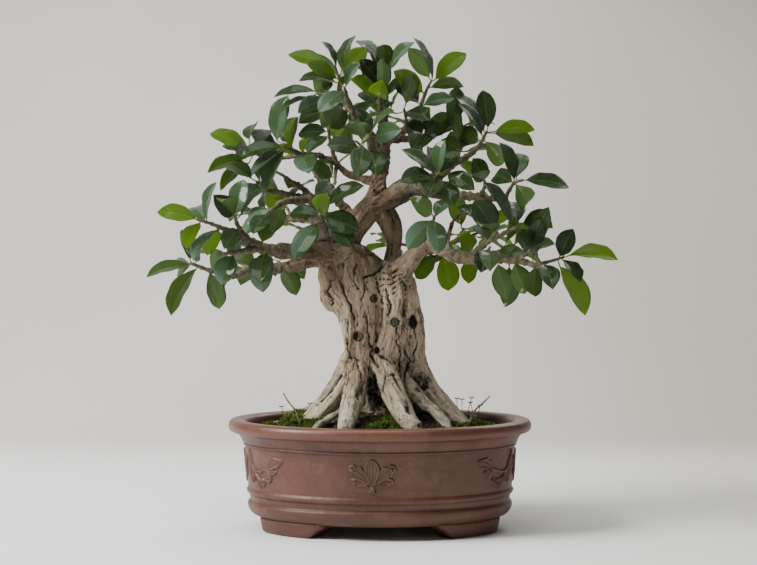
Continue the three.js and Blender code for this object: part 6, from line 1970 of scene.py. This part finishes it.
def stage_floor():
    """A pale table that curves up into a wall behind."""
    half_width, front, start, bend, top = 9000.0, -2600, 325, 1500, 6000
    steps = 24
    rows = [(front, 0), (start, 0)]
    for k in range(1, steps + 1):
        turn = k / steps * math.pi / 2
        rows.append((start + bend * math.sin(turn), bend * (1 - math.cos(turn))))
    rows.append((start + bend, top))
    points = [(x, y, z) for y, z in rows for x in (-half_width, half_width)]
    faces = [(2 * k, 2 * k + 1, 2 * k + 3, 2 * k + 2) for k in range(len(rows) - 1)]
    piece = mesh_piece("floor", points, faces, floor_look())


def lamp(name, place, aim, size, power, colour):
    data = bpy.data.lights.new(name, "AREA")
    data.shape, data.size, data.size_y = "RECTANGLE", size[0], size[1]
    data.energy, data.color = power, colour
    piece = as_object(name, data)
    piece.location = place
    piece.rotation_mode = "QUATERNION"
    piece.rotation_quaternion = (Vector(aim) - Vector(place)).to_track_quat("-Z", "Y")


# each lamp's place, what it is aimed at, its width and height in metres, its power and its colour
LAMPS = {"soft_box": ((-1.75, -0.75, 1.55), (0, 0, 0.22), (0.9, 1.1), 98, (1.0, 0.985, 0.96)),
         "top_box": ((-0.25, -0.35, 2.2), (0, 0, 0.25), (1.4, 1.1), 30, (0.96, 0.98, 1.0)),
         "fill": ((1.4, -2.0, 0.9), (0, 0, 0.25), (1.6, 1.6), 1.0, (1, 1, 1)),
         "rear": ((0.7, 1.25, 1.3), (0, 0, 0.33), (0.9, 0.6), 9, (1.0, 0.98, 0.9))}
ROOM_COLOUR, ROOM_STRENGTH = (0.93, 0.96, 1.0, 1), 0.11
SENSOR_WIDTH = 36


def light_and_camera():
    world = bpy.data.worlds.new("studio")
    bpy.context.scene.world = world
    world.use_nodes = True
    back = world.node_tree.nodes["Background"]
    back.inputs["Color"].default_value = ROOM_COLOUR
    back.inputs["Strength"].default_value = ROOM_STRENGTH
    for name, values in LAMPS.items():
        lamp(name, *values)
    data = bpy.data.cameras.new("camera")
    camera = as_object("camera", data)
    data.sensor_width, data.lens = SENSOR_WIDTH, VIEW_DISTANCE / PICTURE_WIDTH * SENSOR_WIDTH
    camera.location = ((PICTURE_WIDTH / 2 - AXIS_COLUMN) * MM, -VIEW_DISTANCE * MM, EYE_HEIGHT * MM)
    camera.rotation_mode = "XYZ"
    camera.rotation_euler = (math.radians(90), 0, 0)
    data.shift_y = -(PICTURE_HEIGHT / 2 - EYE_ROW) / PICTURE_WIDTH
    bpy.context.scene.camera = camera


# ---- the whole picture ----

def build():
    trunk_piece()
    placed = place_leaves()
    for number, (name, (twigs, _, _)) in enumerate(SPRAYS.items()):
        spray_pieces(name, placed[name], twigs, FIRST_SPRAY_SEED + 17 * number)
    pot_pieces()
    soil_piece()
    soil_grains()
    moss_pieces()
    twigs_and_sprouts()
    screen_pieces()
    stage_floor()
    light_and_camera()


build()
